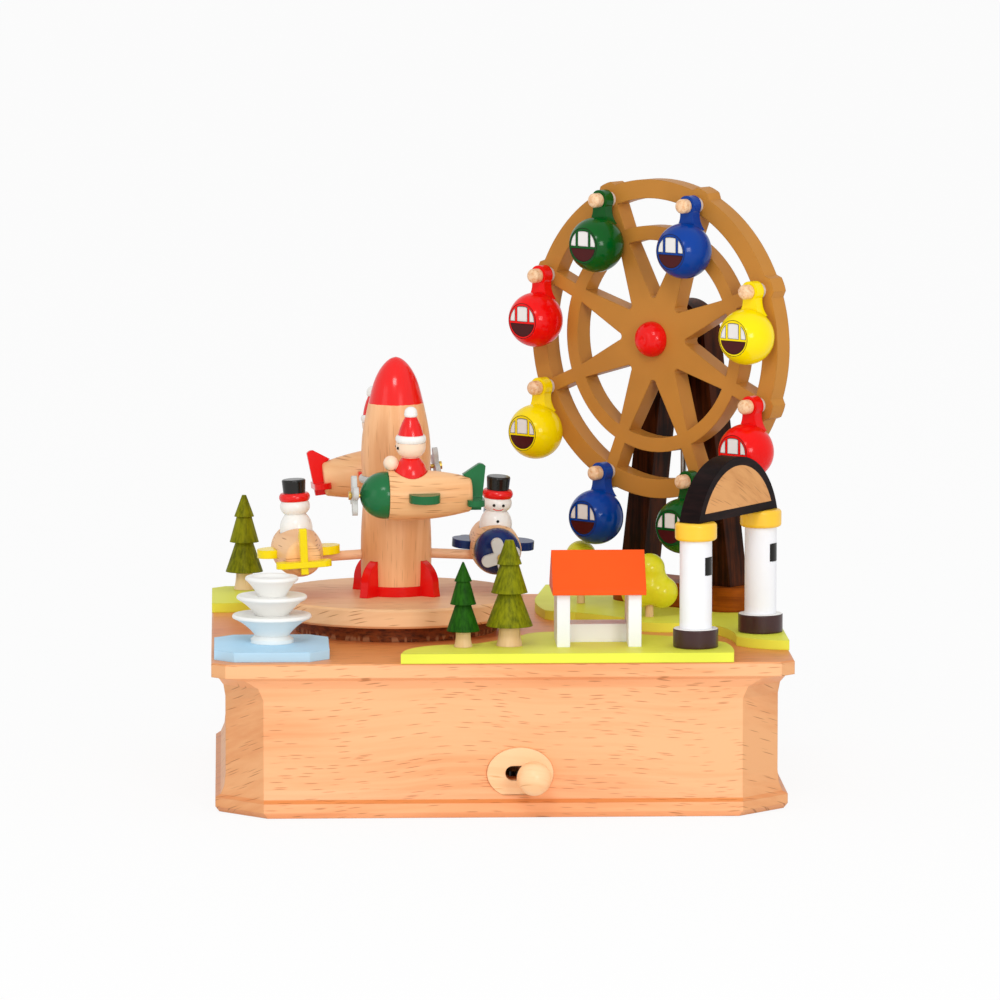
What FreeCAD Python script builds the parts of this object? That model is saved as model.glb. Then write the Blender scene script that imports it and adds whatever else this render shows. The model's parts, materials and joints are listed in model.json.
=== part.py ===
"""Wind-up wooden fairground toy: a music box base with an aeroplane carousel and a big wheel.

Millimetres.  X runs to the right, Y to the back, Z up.  The origin is the centre of the
underside of the base.  The spring in the base turns the carousel's spindle; a row of gears
under the top takes the motion to an upright rod, whose pinion turns the wheel's crown gear.
"""
import FreeCAD, Part, Sketcher
import math
import os
from FreeCAD import Placement, Rotation, Vector

doc = FreeCAD.newDocument("FairgroundToy")
sheet = doc.addObject("Spreadsheet::Sheet", "Sizes")
UP = Vector(0, 0, 1)
made = []


# ---------------------------------------------------------------- sizes
# base case and cover
BASE_WIDTH = 205
BASE_DEPTH = 184
HEADROOM = 6
LIP_HEIGHT = 5
LIP_CUT = 4.9
LIP_EASE = 0.5
COVE_HEIGHT = 8.5
COVE_DEPTH = 4.9
BODY_CUT = 13.3
FOOT_HEIGHT = 14
FOOT_CROWN = 5.3
FOOT_FLARE = 3.7
FOOT_CUT = 17
FOOT_EASE = 1.4
FOOT_SOLE = 2
TOP_THICKNESS = 9
CASE_WALL = 9
REBATE_WALL = 3.5
COVER_THICKNESS = 3
COVER_GAP = 0.2
KEY_OPENING = 22
# turntable, arms and where the aeroplanes fly
CAROUSEL_SPACING = 94.4
CAROUSEL_INSET = 91.5
DISC_RADIUS = 45.9
DISC_THICKNESS = 7
DISC_RISE = 6
DISC_EDGE = 0.8
RING_RADIUS = 36.5
RING_HOLE = 12
RING_HEIGHT = 5.4
COLLAR_RADIUS = 6
SPINDLE_RADIUS = 2.5
RUNNING_GAP = 0.05
ARM_TURN = 5
ARM_REACH = 36
ARM_RADIUS = 1.75
ARM_DROOP = 3
ARM_DROP = 3.1
ARM_TENON = 3
LOW_FLIGHT_RISE = 16.2
HIGH_FLIGHT_RISE = 40
BLUE_PITCH = -4
RED_PITCH = 6
# rocket
ROCKET_HEIGHT = 86
ROCKET_FOOT = 12.2
ROCKET_WAIST = 11.1
ROCKET_SWELL = 1.1
ROCKET_UPPER = 12.3
UPPER_SWELL = 1.6
NOSE_RADIUS = 9.1
NOSE_LEVEL = 69.6
NOSE_SWELL = 1.1
NOSE_TIP = 1.2
NOSE_DOME = 0.8
BAND_LEVEL = 40.5
BAND_HEIGHT = 2.6
BAND_RADIUS = 13.5
BAND_SWELL = 0.7
FIN_REACH = 19
FIN_HEIGHT = 13
FIN_THICKNESS = 3.4
FIN_FOOT = 6
HOOP_HEIGHT = 3.6
HOOP_RADIUS = 12.9
# aeroplanes
PLANE_JOINT = 7
PLANE_BACK = 23
PLANE_FRONT = 8.9
PLANE_TAIL = 6.4
PLANE_SWELL = 1.1
TAIL_ROUND = 1.6
NOSE_BALL = 8.4
NOSE_LENGTH = 10
WING_SPAN = 30
WING_CHORD = 11
WING_THICKNESS = 3
WING_RISE = 0.3
WING_PLACE = -5.3
FIN_TOP = 11
FIN_BOTTOM = 5.6
FIN_BOARD = 2.6
FIN_RAKE = 5
TAILPLANE_SPAN = 20
TAILPLANE_CHORD = 6.2
TAILPLANE_BOARD = 2.2
TAILPLANE_DROP = 3.2
SEAT_RADIUS = 6.1
SEAT_LEVEL = 2.2
SEAT_PLACE = -1.2
FAN_RADIUS = 7.2
FAN_BLADE = 2.15
FAN_THICKNESS = 1.8
FAN_GAP = 1
PIN_RADIUS = 0.8
PIN_HEAD = 1.5
PIN_HEAD_LENGTH = 0.9
PIN_PLAY = 0.3
# pilots
SNOW_BODY = 5.9
SNOW_SHOULDER = 13.4
SNOW_NECK = 3.7
SNOW_HEAD = 5.2
SNOW_HEAD_LEVEL = 16.3
BRIM_RADIUS = 5.6
BRIM_LEVEL = 18
BRIM_HEIGHT = 3
HAT_RADIUS = 4
HAT_TOP = 26
DOLL_BODY = 6
DOLL_BODY_LEVEL = 8.4
DOLL_NECK = 2.8
DOLL_HEAD = 5.3
DOLL_HEAD_LEVEL = 18
CUFF_RADIUS = 5.5
CUFF_LEVEL = 19
CUFF_HEIGHT = 2.6
CONE_TIP = 2
CONE_TOP = 28.2
BOBBLE = 2.3
HANDS = 2.7
HANDS_PLACE = 5.9
HANDS_LEVEL = 11.6
DOLL_SWELL = 2.1
LATHE_FLAT = 0.3
# big wheel, pegs and gondolas
WHEEL_SIDE_INSET = 43.7
WHEEL_INSET = 114.5
GONDOLA_CLEARANCE = 18.8
WHEEL_TURN = 43.3
WHEEL_RADIUS = 58.3
RIM_WIDTH = 6.9
WINDOW_REACH = 10
RING_WIDTH = 5.2
WHEEL_THICKNESS = 7
BUMP_HEIGHT = 1.7
BUMP_HALF = 4.2
SPOKE_HUB = 9.8
SPOKE_RIM = 5
HUB_REACH = 15.6
TIP_ROUND = 1.2
PEG_INSET = 4.1
PEG_RADIUS = 1.5
PEG_HEAD = 2.6
PEG_HEAD_LENGTH = 4
WASHER_RADIUS = 2.8
WASHER_THICKNESS = 2
EAR_PLAY = 0.2
EAR_THICKNESS = 4
EAR_RADIUS = 3.7
BALL_RADIUS = 10.1
BALL_DROP = 16.2
BALL_FRONT = 7.6
BALL_BACK = 5.3
NECK_WIDTH = 6
KNOB_RADIUS = 6.4
KNOB_LENGTH = 5.6
AXLE_RADIUS = 2.5
AXLE_COLLAR = 5
# tower, lawns and the wheel's gears
POST_BEHIND = 12.6
POST_THICKNESS = 10
POST_HEAD = 13.6
LEG_FOOT = 10.7
LEG_SPREAD = 26.5
LEG_ARCH = 24
LEG_ARCH_HALF = 7.4
LEG_ARCH_CROWN = 5.5
HEAD_TANGENT = 8
PLINTH_HALF = 31
PLINTH_DEPTH = 18
PLINTH_HEIGHT = 9
ROD_RADIUS = 1.1
LAWN_HEIGHT = 3.5
LAWN_SPARE = 2
TOWER_MODULE = 0.75
GEAR_CLEARANCE = 0.12
CROWN_RADIUS = 9
PINION_RADIUS = 3
CROWN_BOARD = 2.4
CROWN_RIM = 1.3
CROWN_RECESS = 0.5
# gear train, spring movement and key
GEAR_MODULE = 1.5
GEAR_THICKNESS = 4
SMALL_MODULE = 1
TRAIN_THICKNESS = 4
TRAIN_RISE = 11.8
TRAIN_GAP = 4
DRUM_GAP = 0.45
TOOTH_SLACK = 0.12
IDLER_TURN = 14
IDLER_PIN = 2
PIN_FLANGE = 4.5
PIN_FLANGE_HEIGHT = 1.6
BED_THICKNESS = 2.2
BED_MARGIN = 2
DRUM_RADIUS = 18
BED_LEG = 3.5
CYLINDER_LENGTH = 30
CYLINDER_SHAFT = 1
CYLINDER_GAP = 9
CYLINDER_CLEARANCE = 0.5
BRACKET = 2.2
BRACKET_HALF = 4
COMB_THICKNESS = 1
COMB_DEPTH = 20
COMB_GAP = 0.6
COMB_RAIL = 9
PIP_RADIUS = 0.3
PIP_HEIGHT = 0.5
KEY_REACH = 10.8
KEY_LOOP = 5.2
KEY_EYE = 2.4
KEY_THICKNESS = 3
KEY_BOSS = 4.2
KEY_LIFT = 1.6
KEY_HEADROOM = 2
KEY_BOSS_GAP = 1
# lever, its slot and the board round it
SLOT_X = 5.9
SLOT_Z = 15.45
SLOT_LENGTH = 10.5
SLOT_HEIGHT = 5.2
SHIELD_WIDTH = 23.4
SHIELD_HEIGHT = 18.2
SHIELD_THICKNESS = 2.2
SHIELD_SINK = 1
LEVER_PIVOT = 23
LEVER_ANGLE = 6.9
LEVER_REACH = 36.2
STEM_RADIUS = 2
KNOB_BALL = 6.1
LEVER_HUB = 4
LEVER_HUB_HEIGHT = 5
LEVER_PIN = 1.5
# entrance gate
GATE_SPAN = 45.9
GATE_INSET = 21.45
GATE_FRONT_INSET = 34.15
GATE_TURN = 56
COLUMN_RADIUS = 5.7
COLUMN_FOOT = 8
COLUMN_FOOT_HEIGHT = 6.7
COLUMN_CAP = 7.4
COLUMN_CAP_HEIGHT = 6.4
CAP_EASE = 1.2
GATE_HEIGHT = 44.3
ARCH_LENGTH = 55.5
ARCH_HEIGHT = 21
ARCH_THICKNESS = 8
PANEL_BORDER = 3
PANEL_DEPTH = 0.8
WINDOW_WIDTH = 3.4
WINDOW_TALL = 6.5
WINDOW_LEVEL = 25.7
WINDOW_DEEP = 0.8
# booth
BOOTH_X = 34.2
BOOTH_INSET = 15.1
BOOTH_WIDTH = 29.8
BOOTH_BOARD = 4.6
BOOTH_DEPTH = 23.8
BOOTH_HEIGHT = 18.7
BENCH_HEIGHT = 6.5
BENCH_SETBACK = 13
BENCH_DEPTH = 10.8
ROOF_LENGTH = 33
ROOF_RISE = 14.4
ROOF_EAVE = 1.7
ROOF_OVERHANG = 2.1
# pond, fountain, trees and bushes
POND_CUT = 7
POND_INSET = 1
POND_FRONT_INSET = 6
POND_LENGTH = 40.6
POND_DEPTH = 46
FOUNTAIN_FOOT = 7.6
FOUNTAIN_SIDE = 20.5
FOUNTAIN_REACH = 25.7
BOWL_LOW = 13.95
BOWL_MIDDLE = 12.4
BOWL_HIGH = 9.35
BOWL_LOW_LEVEL = 10.2
BOWL_MIDDLE_LEVEL = 17
BOWL_HIGH_LEVEL = 23.7
BOWL_RIM = 1.3
SMALL_TREE = 30.1
SMALL_TREE_SPREAD = 5.9
BIG_TREE = 37.5
BIG_TREE_SPREAD = 8.3
REAR_TREE = 35.4
REAR_TREE_SPREAD = 7
BUSH_LOBE = 4.8
BUSH_SPREAD = 4.5
BUSH_RISE = 8.6
BUSH_STEM = 1.5
BUSH_STEM_HEIGHT = 4.2
# cover screws
SCREW_SHANK = 1.2
SCREW_HEAD = 2.4
SCREW_HEAD_HEIGHT = 1.4
SCREW_LENGTH = 11


# ---------------------------------------------------------------- formulas
class Size:
    """A number and the spreadsheet formula that gives it."""

    def __init__(self, value, text):
        self.value = float(value)
        self.text = text

    def __add__(self, other):
        return join(self, "+", other, self.value + number(other))

    def __radd__(self, other):
        return join(other, "+", self, number(other) + self.value)

    def __sub__(self, other):
        return join(self, "-", other, self.value - number(other))

    def __rsub__(self, other):
        return join(other, "-", self, number(other) - self.value)

    def __mul__(self, other):
        return join(self, "*", other, self.value * number(other))

    def __rmul__(self, other):
        return join(other, "*", self, number(other) * self.value)

    def __truediv__(self, other):
        return join(self, "/", other, self.value / number(other))

    def __neg__(self):
        return Size(-self.value, "(0 - " + self.text + ")")

    def __float__(self):
        return self.value


def number(size):
    return size.value if isinstance(size, Size) else float(size)


def formula(size):
    return size.text if isinstance(size, Size) else repr(float(size))


def join(left, sign, right, value):
    return Size(value, "(" + formula(left) + " " + sign + " " + formula(right) + ")")


def root(size):
    return Size(math.sqrt(number(size)), "sqrt(" + formula(size) + ")")


def sine(angle):
    return Size(math.sin(math.radians(number(angle))), "sin(" + formula(angle) + ")")


def cosine(angle):
    return Size(math.cos(math.radians(number(angle))), "cos(" + formula(angle) + ")")


def cells(sizes):
    """A cell of the spreadsheet for each size above, read back as a Size of the same name."""
    read = {}
    for row, (name, value) in enumerate(sizes.items(), 1):
        alias = name.lower()
        sheet.set("A%d" % row, alias)
        sheet.set("B%d" % row, str(value))
        sheet.setAlias("B%d" % row, alias)
        read[name] = Size(value, "Sizes." + alias)
    return read


vars().update(cells({name: value for name, value in vars().items() if type(value) in (int, float)}))


# ---------------------------------------------------------------- levels, from the table up
KEY_LEVEL = KEY_LIFT + KEY_LOOP
BED_LEVEL = KEY_LEVEL + KEY_LOOP + KEY_HEADROOM
BED_TOP = BED_LEVEL + BED_THICKNESS
TRAIN_LEVEL = BED_TOP + TRAIN_RISE
GEAR_LEVEL = TRAIN_LEVEL + TRAIN_THICKNESS + TRAIN_GAP
CEILING = GEAR_LEVEL + GEAR_THICKNESS + HEADROOM
CASE_TOP = CEILING + TOP_THICKNESS
LAWN_TOP = CASE_TOP + LAWN_HEIGHT
DISC_LEVEL = CASE_TOP + DISC_RISE
DISC_TOP = DISC_LEVEL + DISC_THICKNESS
LOW_FLIGHT = DISC_TOP + LOW_FLIGHT_RISE
HIGH_FLIGHT = DISC_TOP + HIGH_FLIGHT_RISE

# the wheel
RIM_INSIDE = WHEEL_RADIUS - RIM_WIDTH
RING_OUTSIDE = RIM_INSIDE - WINDOW_REACH
RING_INSIDE = RING_OUTSIDE - RING_WIDTH
PEG_CIRCLE = WHEEL_RADIUS - PEG_INSET
HUB_LEVEL = LAWN_TOP + GONDOLA_CLEARANCE + BALL_RADIUS + BALL_DROP + PEG_CIRCLE

# places on the top
LEFT, RIGHT = -BASE_WIDTH / 2, BASE_WIDTH / 2
FRONT, BACK = -BASE_DEPTH / 2, BASE_DEPTH / 2
WHEEL_X, WHEEL_Y = RIGHT - WHEEL_SIDE_INSET, FRONT + WHEEL_INSET
CAROUSEL_X, CAROUSEL_Y = WHEEL_X - CAROUSEL_SPACING, FRONT + CAROUSEL_INSET
CAROUSEL = (CAROUSEL_X, CAROUSEL_Y)
BODY_FRONT = FRONT + COVE_DEPTH
GATE = (RIGHT - GATE_INSET, FRONT + GATE_FRONT_INSET)
BOOTH_FRONT = FRONT + BOOTH_INSET
POND_LEFT = LEFT + POND_INSET
POND_FRONT = FRONT + POND_FRONT_INSET
FOUNTAIN = (POND_LEFT + FOUNTAIN_SIDE, POND_FRONT + FOUNTAIN_REACH)


# ---------------------------------------------------------------- building helpers
def tie(item, **sizes):
    """Bind an object's properties to sizes."""
    for name, size in sizes.items():
        if isinstance(size, Size):
            item.setExpression(name, size.text)
        else:
            setattr(item, name, size)
    return item


def put(item, at, turn=None):
    """Place an object; its position stays bound to the sheet."""
    spin = turn if turn is not None else Rotation()
    item.Placement = Placement(Vector(*[number(c) for c in at]), spin)
    for axis, size in zip("xyz", at):
        if isinstance(size, Size):
            item.setExpression("Placement.Base." + axis, size.text)
    return item


def box(name, length, width, height, at=(0, 0, 0), turn=None):
    """A box whose given point is the middle of its underside."""
    item = tie(doc.addObject("Part::Box", name), Length=length, Width=width, Height=height)
    if turn is None:
        return put(item, (at[0] - length / 2, at[1] - width / 2, at[2]))
    corner = turn.multVec(Vector(-number(length) / 2, -number(width) / 2, 0))
    return put(item, (at[0] + corner.x, at[1] + corner.y, at[2] + corner.z), turn)


def rod(name, radius, height, at=(0, 0, 0), turn=None):
    item = tie(doc.addObject("Part::Cylinder", name), Radius=radius, Height=height)
    return put(item, at, turn)


def ball(name, radius, at=(0, 0, 0)):
    return put(tie(doc.addObject("Part::Sphere", name), Radius=radius), at)


def cone(name, low, high, height, at=(0, 0, 0), turn=None):
    item = tie(doc.addObject("Part::Cone", name), Radius1=low, Radius2=high, Height=height)
    return put(item, at, turn)


def fuse(name, *parts):
    item = doc.addObject("Part::MultiFuse", name)
    item.Shapes = list(parts)
    item.Refine = True
    return item


def cut(name, base, *tools):
    item = doc.addObject("Part::Cut", name)
    item.Base = base
    item.Tool = tools[0] if len(tools) == 1 else fuse(name + "_tools", *tools)
    return item


def meet(name, base, tool):
    item = doc.addObject("Part::Common", name)
    item.Base = base
    item.Tool = tool
    return item


def new_sketch(name, body=None):
    """An empty sketch, on its body's own plane where it has a body."""
    if body is None:
        return doc.addObject("Sketcher::SketchObject", name)
    sketch = body.newObject("Sketcher::SketchObject", name)
    plane = [p for p in body.Origin.OriginFeatures if p.Role == "XY_Plane"][0]
    sketch.AttachmentSupport = (plane, [""])
    sketch.MapMode = "FlatFace"
    return sketch


def circle(name, radius, body, x=0):
    """A circle in a body's plane, its centre on the plane's x axis."""
    sketch = new_sketch(name, body)
    spot = Vector(number(x), 0, 0)
    sketch.addGeometry(Part.Circle(spot, Vector(0, 0, 1), number(radius)))
    index = sketch.addConstraint(Sketcher.Constraint("Radius", 0, number(radius)))
    sketch.setExpression("Constraints[%d]" % index, formula(radius))
    if not isinstance(x, Size):
        sketch.addConstraint(Sketcher.Constraint("Coincident", 0, 3, -1, 1))
        return sketch
    index = sketch.addConstraint(Sketcher.Constraint("DistanceX", -1, 1, 0, 3, number(x)))
    sketch.setExpression("Constraints[%d]" % index, x.text)
    sketch.addConstraint(Sketcher.Constraint("PointOnObject", 0, 3, -1))
    return sketch


def outline(name, corners, bows=None, turn=None, at=(0, 0, 0), body=None):
    """A closed sketch: every corner is tied to its sizes, and a bow makes that side an arc."""
    bows = bows or {}
    sketch = new_sketch(name, body)
    places = [Vector(number(x), number(y), 0) for x, y in corners]
    count = len(corners)
    ends = []
    for i, start in enumerate(places):
        stop = places[(i + 1) % count]
        if i in bows:
            chord = stop - start
            side = Vector(chord.y, -chord.x, 0).normalize() * number(bows[i])
            side_id = sketch.addGeometry(Part.Arc(start, (start + stop) * 0.5 + side, stop))
        else:
            side_id = sketch.addGeometry(Part.LineSegment(start, stop))
        first = 1 if sketch.getPoint(side_id, 1).distanceToPoint(start) < 1e-6 else 2
        ends.append((side_id, first, 3 - first))
    for i in range(count):
        this, following = ends[i], ends[(i + 1) % count]
        sketch.addConstraint(Sketcher.Constraint("Coincident", this[0], this[2],
                                                 following[0], following[1]))
    for i, (x, y) in enumerate(corners):
        for kind, size, axis in (("DistanceX", x, -2), ("DistanceY", y, -1)):
            if abs(number(size)) < 1e-9:
                rule = Sketcher.Constraint("PointOnObject", ends[i][0], ends[i][1], axis)
                sketch.addConstraint(rule)
                continue
            rule = Sketcher.Constraint(kind, -1, 1, ends[i][0], ends[i][1], number(size))
            index = sketch.addConstraint(rule)
            if isinstance(size, Size):
                sketch.setExpression("Constraints[%d]" % index, size.text)
    for i, bow in bows.items():
        (xa, ya), (xb, yb) = corners[i], corners[(i + 1) % count]
        depth = bow if number(bow) > 0 else -bow
        radius = ((xb - xa) * (xb - xa) + (yb - ya) * (yb - ya)) / (8 * depth) + depth / 2
        rule = Sketcher.Constraint("Radius", ends[i][0], number(radius))
        index = sketch.addConstraint(rule)
        if isinstance(radius, Size):
            sketch.setExpression("Constraints[%d]" % index, radius.text)
    return sketch if body else put(sketch, at, turn)


def raised(name, sketch, thickness, both_ways=False):
    """A solid drawn up from a closed sketch, or to both sides of it."""
    item = doc.addObject("Part::Extrusion", name)
    item.Base = sketch
    item.DirMode = "Normal"
    item.Solid = True
    item.Symmetric = both_ways
    return tie(item, LengthFwd=thickness)


def slab(name, corners, thickness, bows=None, turn=None, at=(0, 0, 0), both_ways=False):
    """A flat board cut to an outline."""
    sketch = outline(name + "_outline", corners, bows, turn, at)
    return raised(name, sketch, thickness, both_ways)


STANDING = Rotation(Vector(1, 0, 0), 90)


def turned(name, corners, bows=None, at=(0, 0, 0)):
    """A piece turned on a lathe: (radius, height) corners spun about the upright axis."""
    sketch = outline(name + "_profile", corners, bows, STANDING, at)
    item = doc.addObject("Part::Revolution", name)
    item.Source = sketch
    item.Axis = UP
    item.Base = Vector(number(at[0]), number(at[1]), 0)
    for axis, size in zip("xy", at[:2]):
        if isinstance(size, Size):
            item.setExpression("Base." + axis, size.text)
    item.Angle = 360
    item.Solid = True
    return item


def finish(item, label):
    """Name a finished sub-part."""
    item.Label = label
    made.append(item)
    return item


def bundle(label, *items):
    """Several separate pieces that share one node."""
    item = doc.addObject("Part::Compound", label)
    item.Links = list(items)
    return finish(item, label)


def feature(name, shape, spot=None):
    item = doc.addObject("Part::Feature", name)
    item.Shape = shape
    if spot is not None:
        item.Placement = spot
    return item


def copies(label, source, spots):
    """Copies of one modelled piece, set at several places in one node."""
    doc.recompute()
    shapes = []
    for spot in spots:
        shape = source.Shape.copy()
        shape.Placement = spot.multiply(shape.Placement)
        shapes.append(shape)
    return finish(feature(label, Part.makeCompound(shapes)), label)


# ---------------------------------------------------------------- gears
def phase_in_mesh(teeth, phase, direction, partner_teeth):
    """Turn of a gear that puts its gaps on its partner's teeth along a direction."""
    offset = 0.5 - teeth * (direction - phase) / 360.0
    return direction + 180.0 - offset * 360.0 / partner_teeth


def gear_face(teeth, module, phase):
    """Outline of a spur gear with straight-flanked teeth, thinned a little for backlash."""
    pitch = module * teeth / 2.0
    slack = math.degrees(number(TOOTH_SLACK) / pitch)
    quarter = 90.0 / teeth
    tip, base = pitch + module * ADDENDUM, pitch - module * DEDENDUM
    corners = []
    for i in range(teeth):
        middle = phase + 360.0 * i / teeth
        for radius, spread in ((base, -1.62), (tip, -0.52), (tip, 0.52), (base, 1.62)):
            angle = math.radians(middle + quarter * spread - math.copysign(slack, spread))
            corners.append(Vector(radius * math.cos(angle), radius * math.sin(angle), 0))
    return Part.Face(Part.makePolygon(corners + [corners[0]]))


def gear(teeth, module, phase, thickness, bore, centre, level):
    """A spur gear with a bored hole, standing on a level."""
    solid = gear_face(teeth, module, phase).extrude(Vector(0, 0, thickness))
    if bore:
        solid = solid.cut(Part.makeCylinder(bore, thickness * 3, Vector(0, 0, -thickness)))
    solid.translate(Vector(centre[0], centre[1], level))
    return solid


def crown_teeth(teeth, radius, face, height, width):
    """Upright teeth on a disc's rim, tapering towards their tips, ready to be fused to it."""
    pitch = 2 * math.pi * radius / teeth
    shapes = []
    for i in range(teeth):
        foot, crest = pitch * 0.24, pitch * 0.1
        inner, outer = radius - width / 2, radius + width / 2
        side = [Vector(inner, -foot, face), Vector(inner, foot, face),
                Vector(inner, crest, face + height), Vector(inner, -crest, face + height)]
        tooth = Part.Face(Part.makePolygon(side + [side[0]])).extrude(Vector(outer - inner, 0, 0))
        tooth.rotate(Vector(), UP, 360.0 * (i + 0.5) / teeth)
        shapes.append(tooth)
    return shapes


DRIVE_TEETH = 28
IDLER_TEETH = 28
ROD_TEETH = 20
WHEEL_PINION_TEETH = 8
CROWN_TEETH = 24
SPINDLE_PINION_TEETH = 12
GREAT_TEETH = 48
FACE_TEETH = 44
CYLINDER_TEETH = 8
ADDENDUM = 0.85
DEDENDUM = 1.1
TOOTH_HEIGHT = ADDENDUM + DEDENDUM


# ---------------------------------------------------------------- places worked out
POST_MIDDLE = POST_BEHIND + POST_THICKNESS / 2
ROD_AXIS = (WHEEL_X + POST_MIDDLE * sine(WHEEL_TURN),
            WHEEL_Y + POST_MIDDLE * cosine(WHEEL_TURN))
GREAT_RADIUS = SMALL_MODULE * GREAT_TEETH / 2
WINDER = (CAROUSEL_X, CAROUSEL_Y - SMALL_MODULE * SPINDLE_PINION_TEETH / 2 - GREAT_RADIUS)
FRAME = Placement(Vector(WHEEL_X.value, WHEEL_Y.value, HUB_LEVEL.value),
                  Rotation(UP, -WHEEL_TURN.value))


def in_wheel_frame(item, height=None):
    """Stand a piece in the wheel's frame: x along the wheel, y into it, z up from the hub."""
    level = HUB_LEVEL if height is None else height
    put(item, (WHEEL_X, WHEEL_Y, level), Rotation(UP, 10))
    item.setExpression("Placement.Rotation.Angle", "-Sizes.wheel_turn")
    return item


def in_gate_frame(item):
    """Stand a piece in the gate's frame: x along the gate, its visible face towards -y."""
    put(item, (GATE[0], GATE[1], LAWN_TOP), Rotation(UP, 10))
    item.setExpression("Placement.Rotation.Angle", "Sizes.gate_turn")
    return item


def idler_places():
    """Two idlers between the spindle and the rod, in a slightly bent row."""
    start = Vector(CAROUSEL_X.value, CAROUSEL_Y.value, 0)
    stop = Vector(ROD_AXIS[0].value, ROD_AXIS[1].value, 0)
    module = GEAR_MODULE.value
    first = module * (DRIVE_TEETH + IDLER_TEETH) / 2
    second = module * IDLER_TEETH
    third = module * (IDLER_TEETH + ROD_TEETH) / 2
    angle = math.radians(heading(stop, start) + IDLER_TURN.value)
    near_rod = stop + Vector(math.cos(angle), math.sin(angle), 0) * third
    span = near_rod - start
    along = (first ** 2 - second ** 2 + span.Length ** 2) / (2 * span.Length)
    aside = math.sqrt(first ** 2 - along ** 2)
    unit = Vector(span).normalize()
    near_spindle = start + unit * along + Vector(-unit.y, unit.x, 0) * aside
    return ((near_spindle.x, near_spindle.y), (near_rod.x, near_rod.y))


def heading(start, stop):
    return math.degrees(math.atan2(number(stop[1]) - number(start[1]),
                                   number(stop[0]) - number(start[0])))


IDLERS = idler_places()


# ---------------------------------------------------------------- base case
def case_section(name, level, inset, cut_length):
    """One level of the case: a rectangle with its four corners cut off."""
    x, y, c = BASE_WIDTH / 2 - inset, BASE_DEPTH / 2 - inset, cut_length
    corners = [(x, c - y), (x, y - c), (x - c, y), (c - x, y),
               (-x, y - c), (-x, c - y), (c - x, -y), (x - c, -y)]
    return outline(name, corners, at=(0, 0, level))


def case_levels():
    """Heights, insets and corner cuts of the moulded outside, from the top down."""
    top = CASE_TOP
    yield top, LIP_EASE, LIP_CUT
    yield top - LIP_EASE, 0, LIP_CUT
    yield top - LIP_HEIGHT, 0, LIP_CUT
    for angle in (30, 60, 90):
        rise, run = 1 - math.cos(math.radians(angle)), math.sin(math.radians(angle))
        yield (top - LIP_HEIGHT - COVE_HEIGHT * rise, COVE_DEPTH * run,
               LIP_CUT + (BODY_CUT - LIP_CUT) * run)
    for angle in (0, 30, 60, 90):
        rise, run = math.sin(math.radians(angle)), 1 - math.cos(math.radians(angle))
        yield (FOOT_HEIGHT - (FOOT_HEIGHT - FOOT_CROWN) * rise,
               COVE_DEPTH - FOOT_FLARE * run,
               BODY_CUT + (FOOT_CUT - BODY_CUT) * run)
    yield FOOT_SOLE, COVE_DEPTH - FOOT_FLARE, FOOT_CUT
    yield 0, COVE_DEPTH - FOOT_FLARE + FOOT_EASE, FOOT_CUT


def inside(name, level, height, wall):
    """A prism that leaves a wall inside the case's body."""
    section = case_section(name + "_section", level, COVE_DEPTH + wall, BODY_CUT)
    return raised(name, section, height)


def oval_slot(name, front, back):
    """The lever's slot: a round-ended hole through what lies between two planes."""
    half = (SLOT_LENGTH - SLOT_HEIGHT) / 2
    pieces = [box(name + "_middle", half * 2, back - front, SLOT_HEIGHT,
                  (SLOT_X, (front + back) / 2, SLOT_Z - SLOT_HEIGHT / 2))]
    for side in (-1, 1):
        pieces.append(rod(name + "_end%d" % side, SLOT_HEIGHT / 2, back - front,
                          (SLOT_X + side * half, back, SLOT_Z), STANDING))
    return fuse(name, *pieces)


def shield_board(name):
    """The oval board round the lever's slot, let into the front of the case."""
    oval = doc.addObject("Part::Ellipse", name + "_oval")
    tie(oval, MajorRadius=SHIELD_WIDTH / 2, MinorRadius=SHIELD_HEIGHT / 2)
    put(oval, (SLOT_X, BODY_FRONT + SHIELD_SINK, SLOT_Z), STANDING)
    board = doc.addObject("Part::Extrusion", name)
    board.Base = oval
    board.DirMode = "Custom"
    board.Dir = Vector(0, -1, 0)
    board.Solid = True
    return tie(board, LengthFwd=SHIELD_THICKNESS)


def base_case():
    sections = [case_section("case_level_%d" % i, *level)
                for i, level in enumerate(case_levels())]
    block = doc.addObject("Part::Loft", "case_block")
    block.Sections = sections
    block.Solid = True
    block.Ruled = True
    ceiling_at = CEILING - 1
    pins = [rod("idler_socket_%d" % i, IDLER_PIN, TOP_THICKNESS / 2 + 1,
                spot + (ceiling_at,)) for i, spot in enumerate(IDLERS)]
    screws = [cover_screw("socket_screw_%d" % i, *spot) for i, spot in enumerate(SCREWS)]
    item = cut("case_hollowed", block,
               inside("rebate", -1, COVER_THICKNESS + 1, REBATE_WALL),
               inside("works_hollow", 0, CEILING, CASE_WALL),
               oval_slot("case_slot", BODY_FRONT - 1, BODY_FRONT + CASE_WALL + 1),
               shield_board("shield_seat"),
               rod("spindle_hole", SPINDLE_RADIUS + RUNNING_GAP, TOP_THICKNESS + 2,
                   CAROUSEL + (ceiling_at,)),
               rod("rod_hole", ROD_RADIUS + RUNNING_GAP, TOP_THICKNESS + 2,
                   ROD_AXIS + (ceiling_at,)),
               *(pins + screws))
    finish(item, "base_case")


def lever_escutcheon():
    item = cut("shield", shield_board("shield_board"),
               oval_slot("shield_slot", BODY_FRONT - SHIELD_THICKNESS, BODY_FRONT + 3))
    finish(item, "lever_escutcheon")


SCREW_X = (BASE_WIDTH / 2 - COVE_DEPTH - (REBATE_WALL + CASE_WALL) / 2)
SCREW_Y = BASE_DEPTH / 4
SCREWS = [(sx * SCREW_X, sy * SCREW_Y) for sx in (-1, 1) for sy in (-1, 1)]


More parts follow.
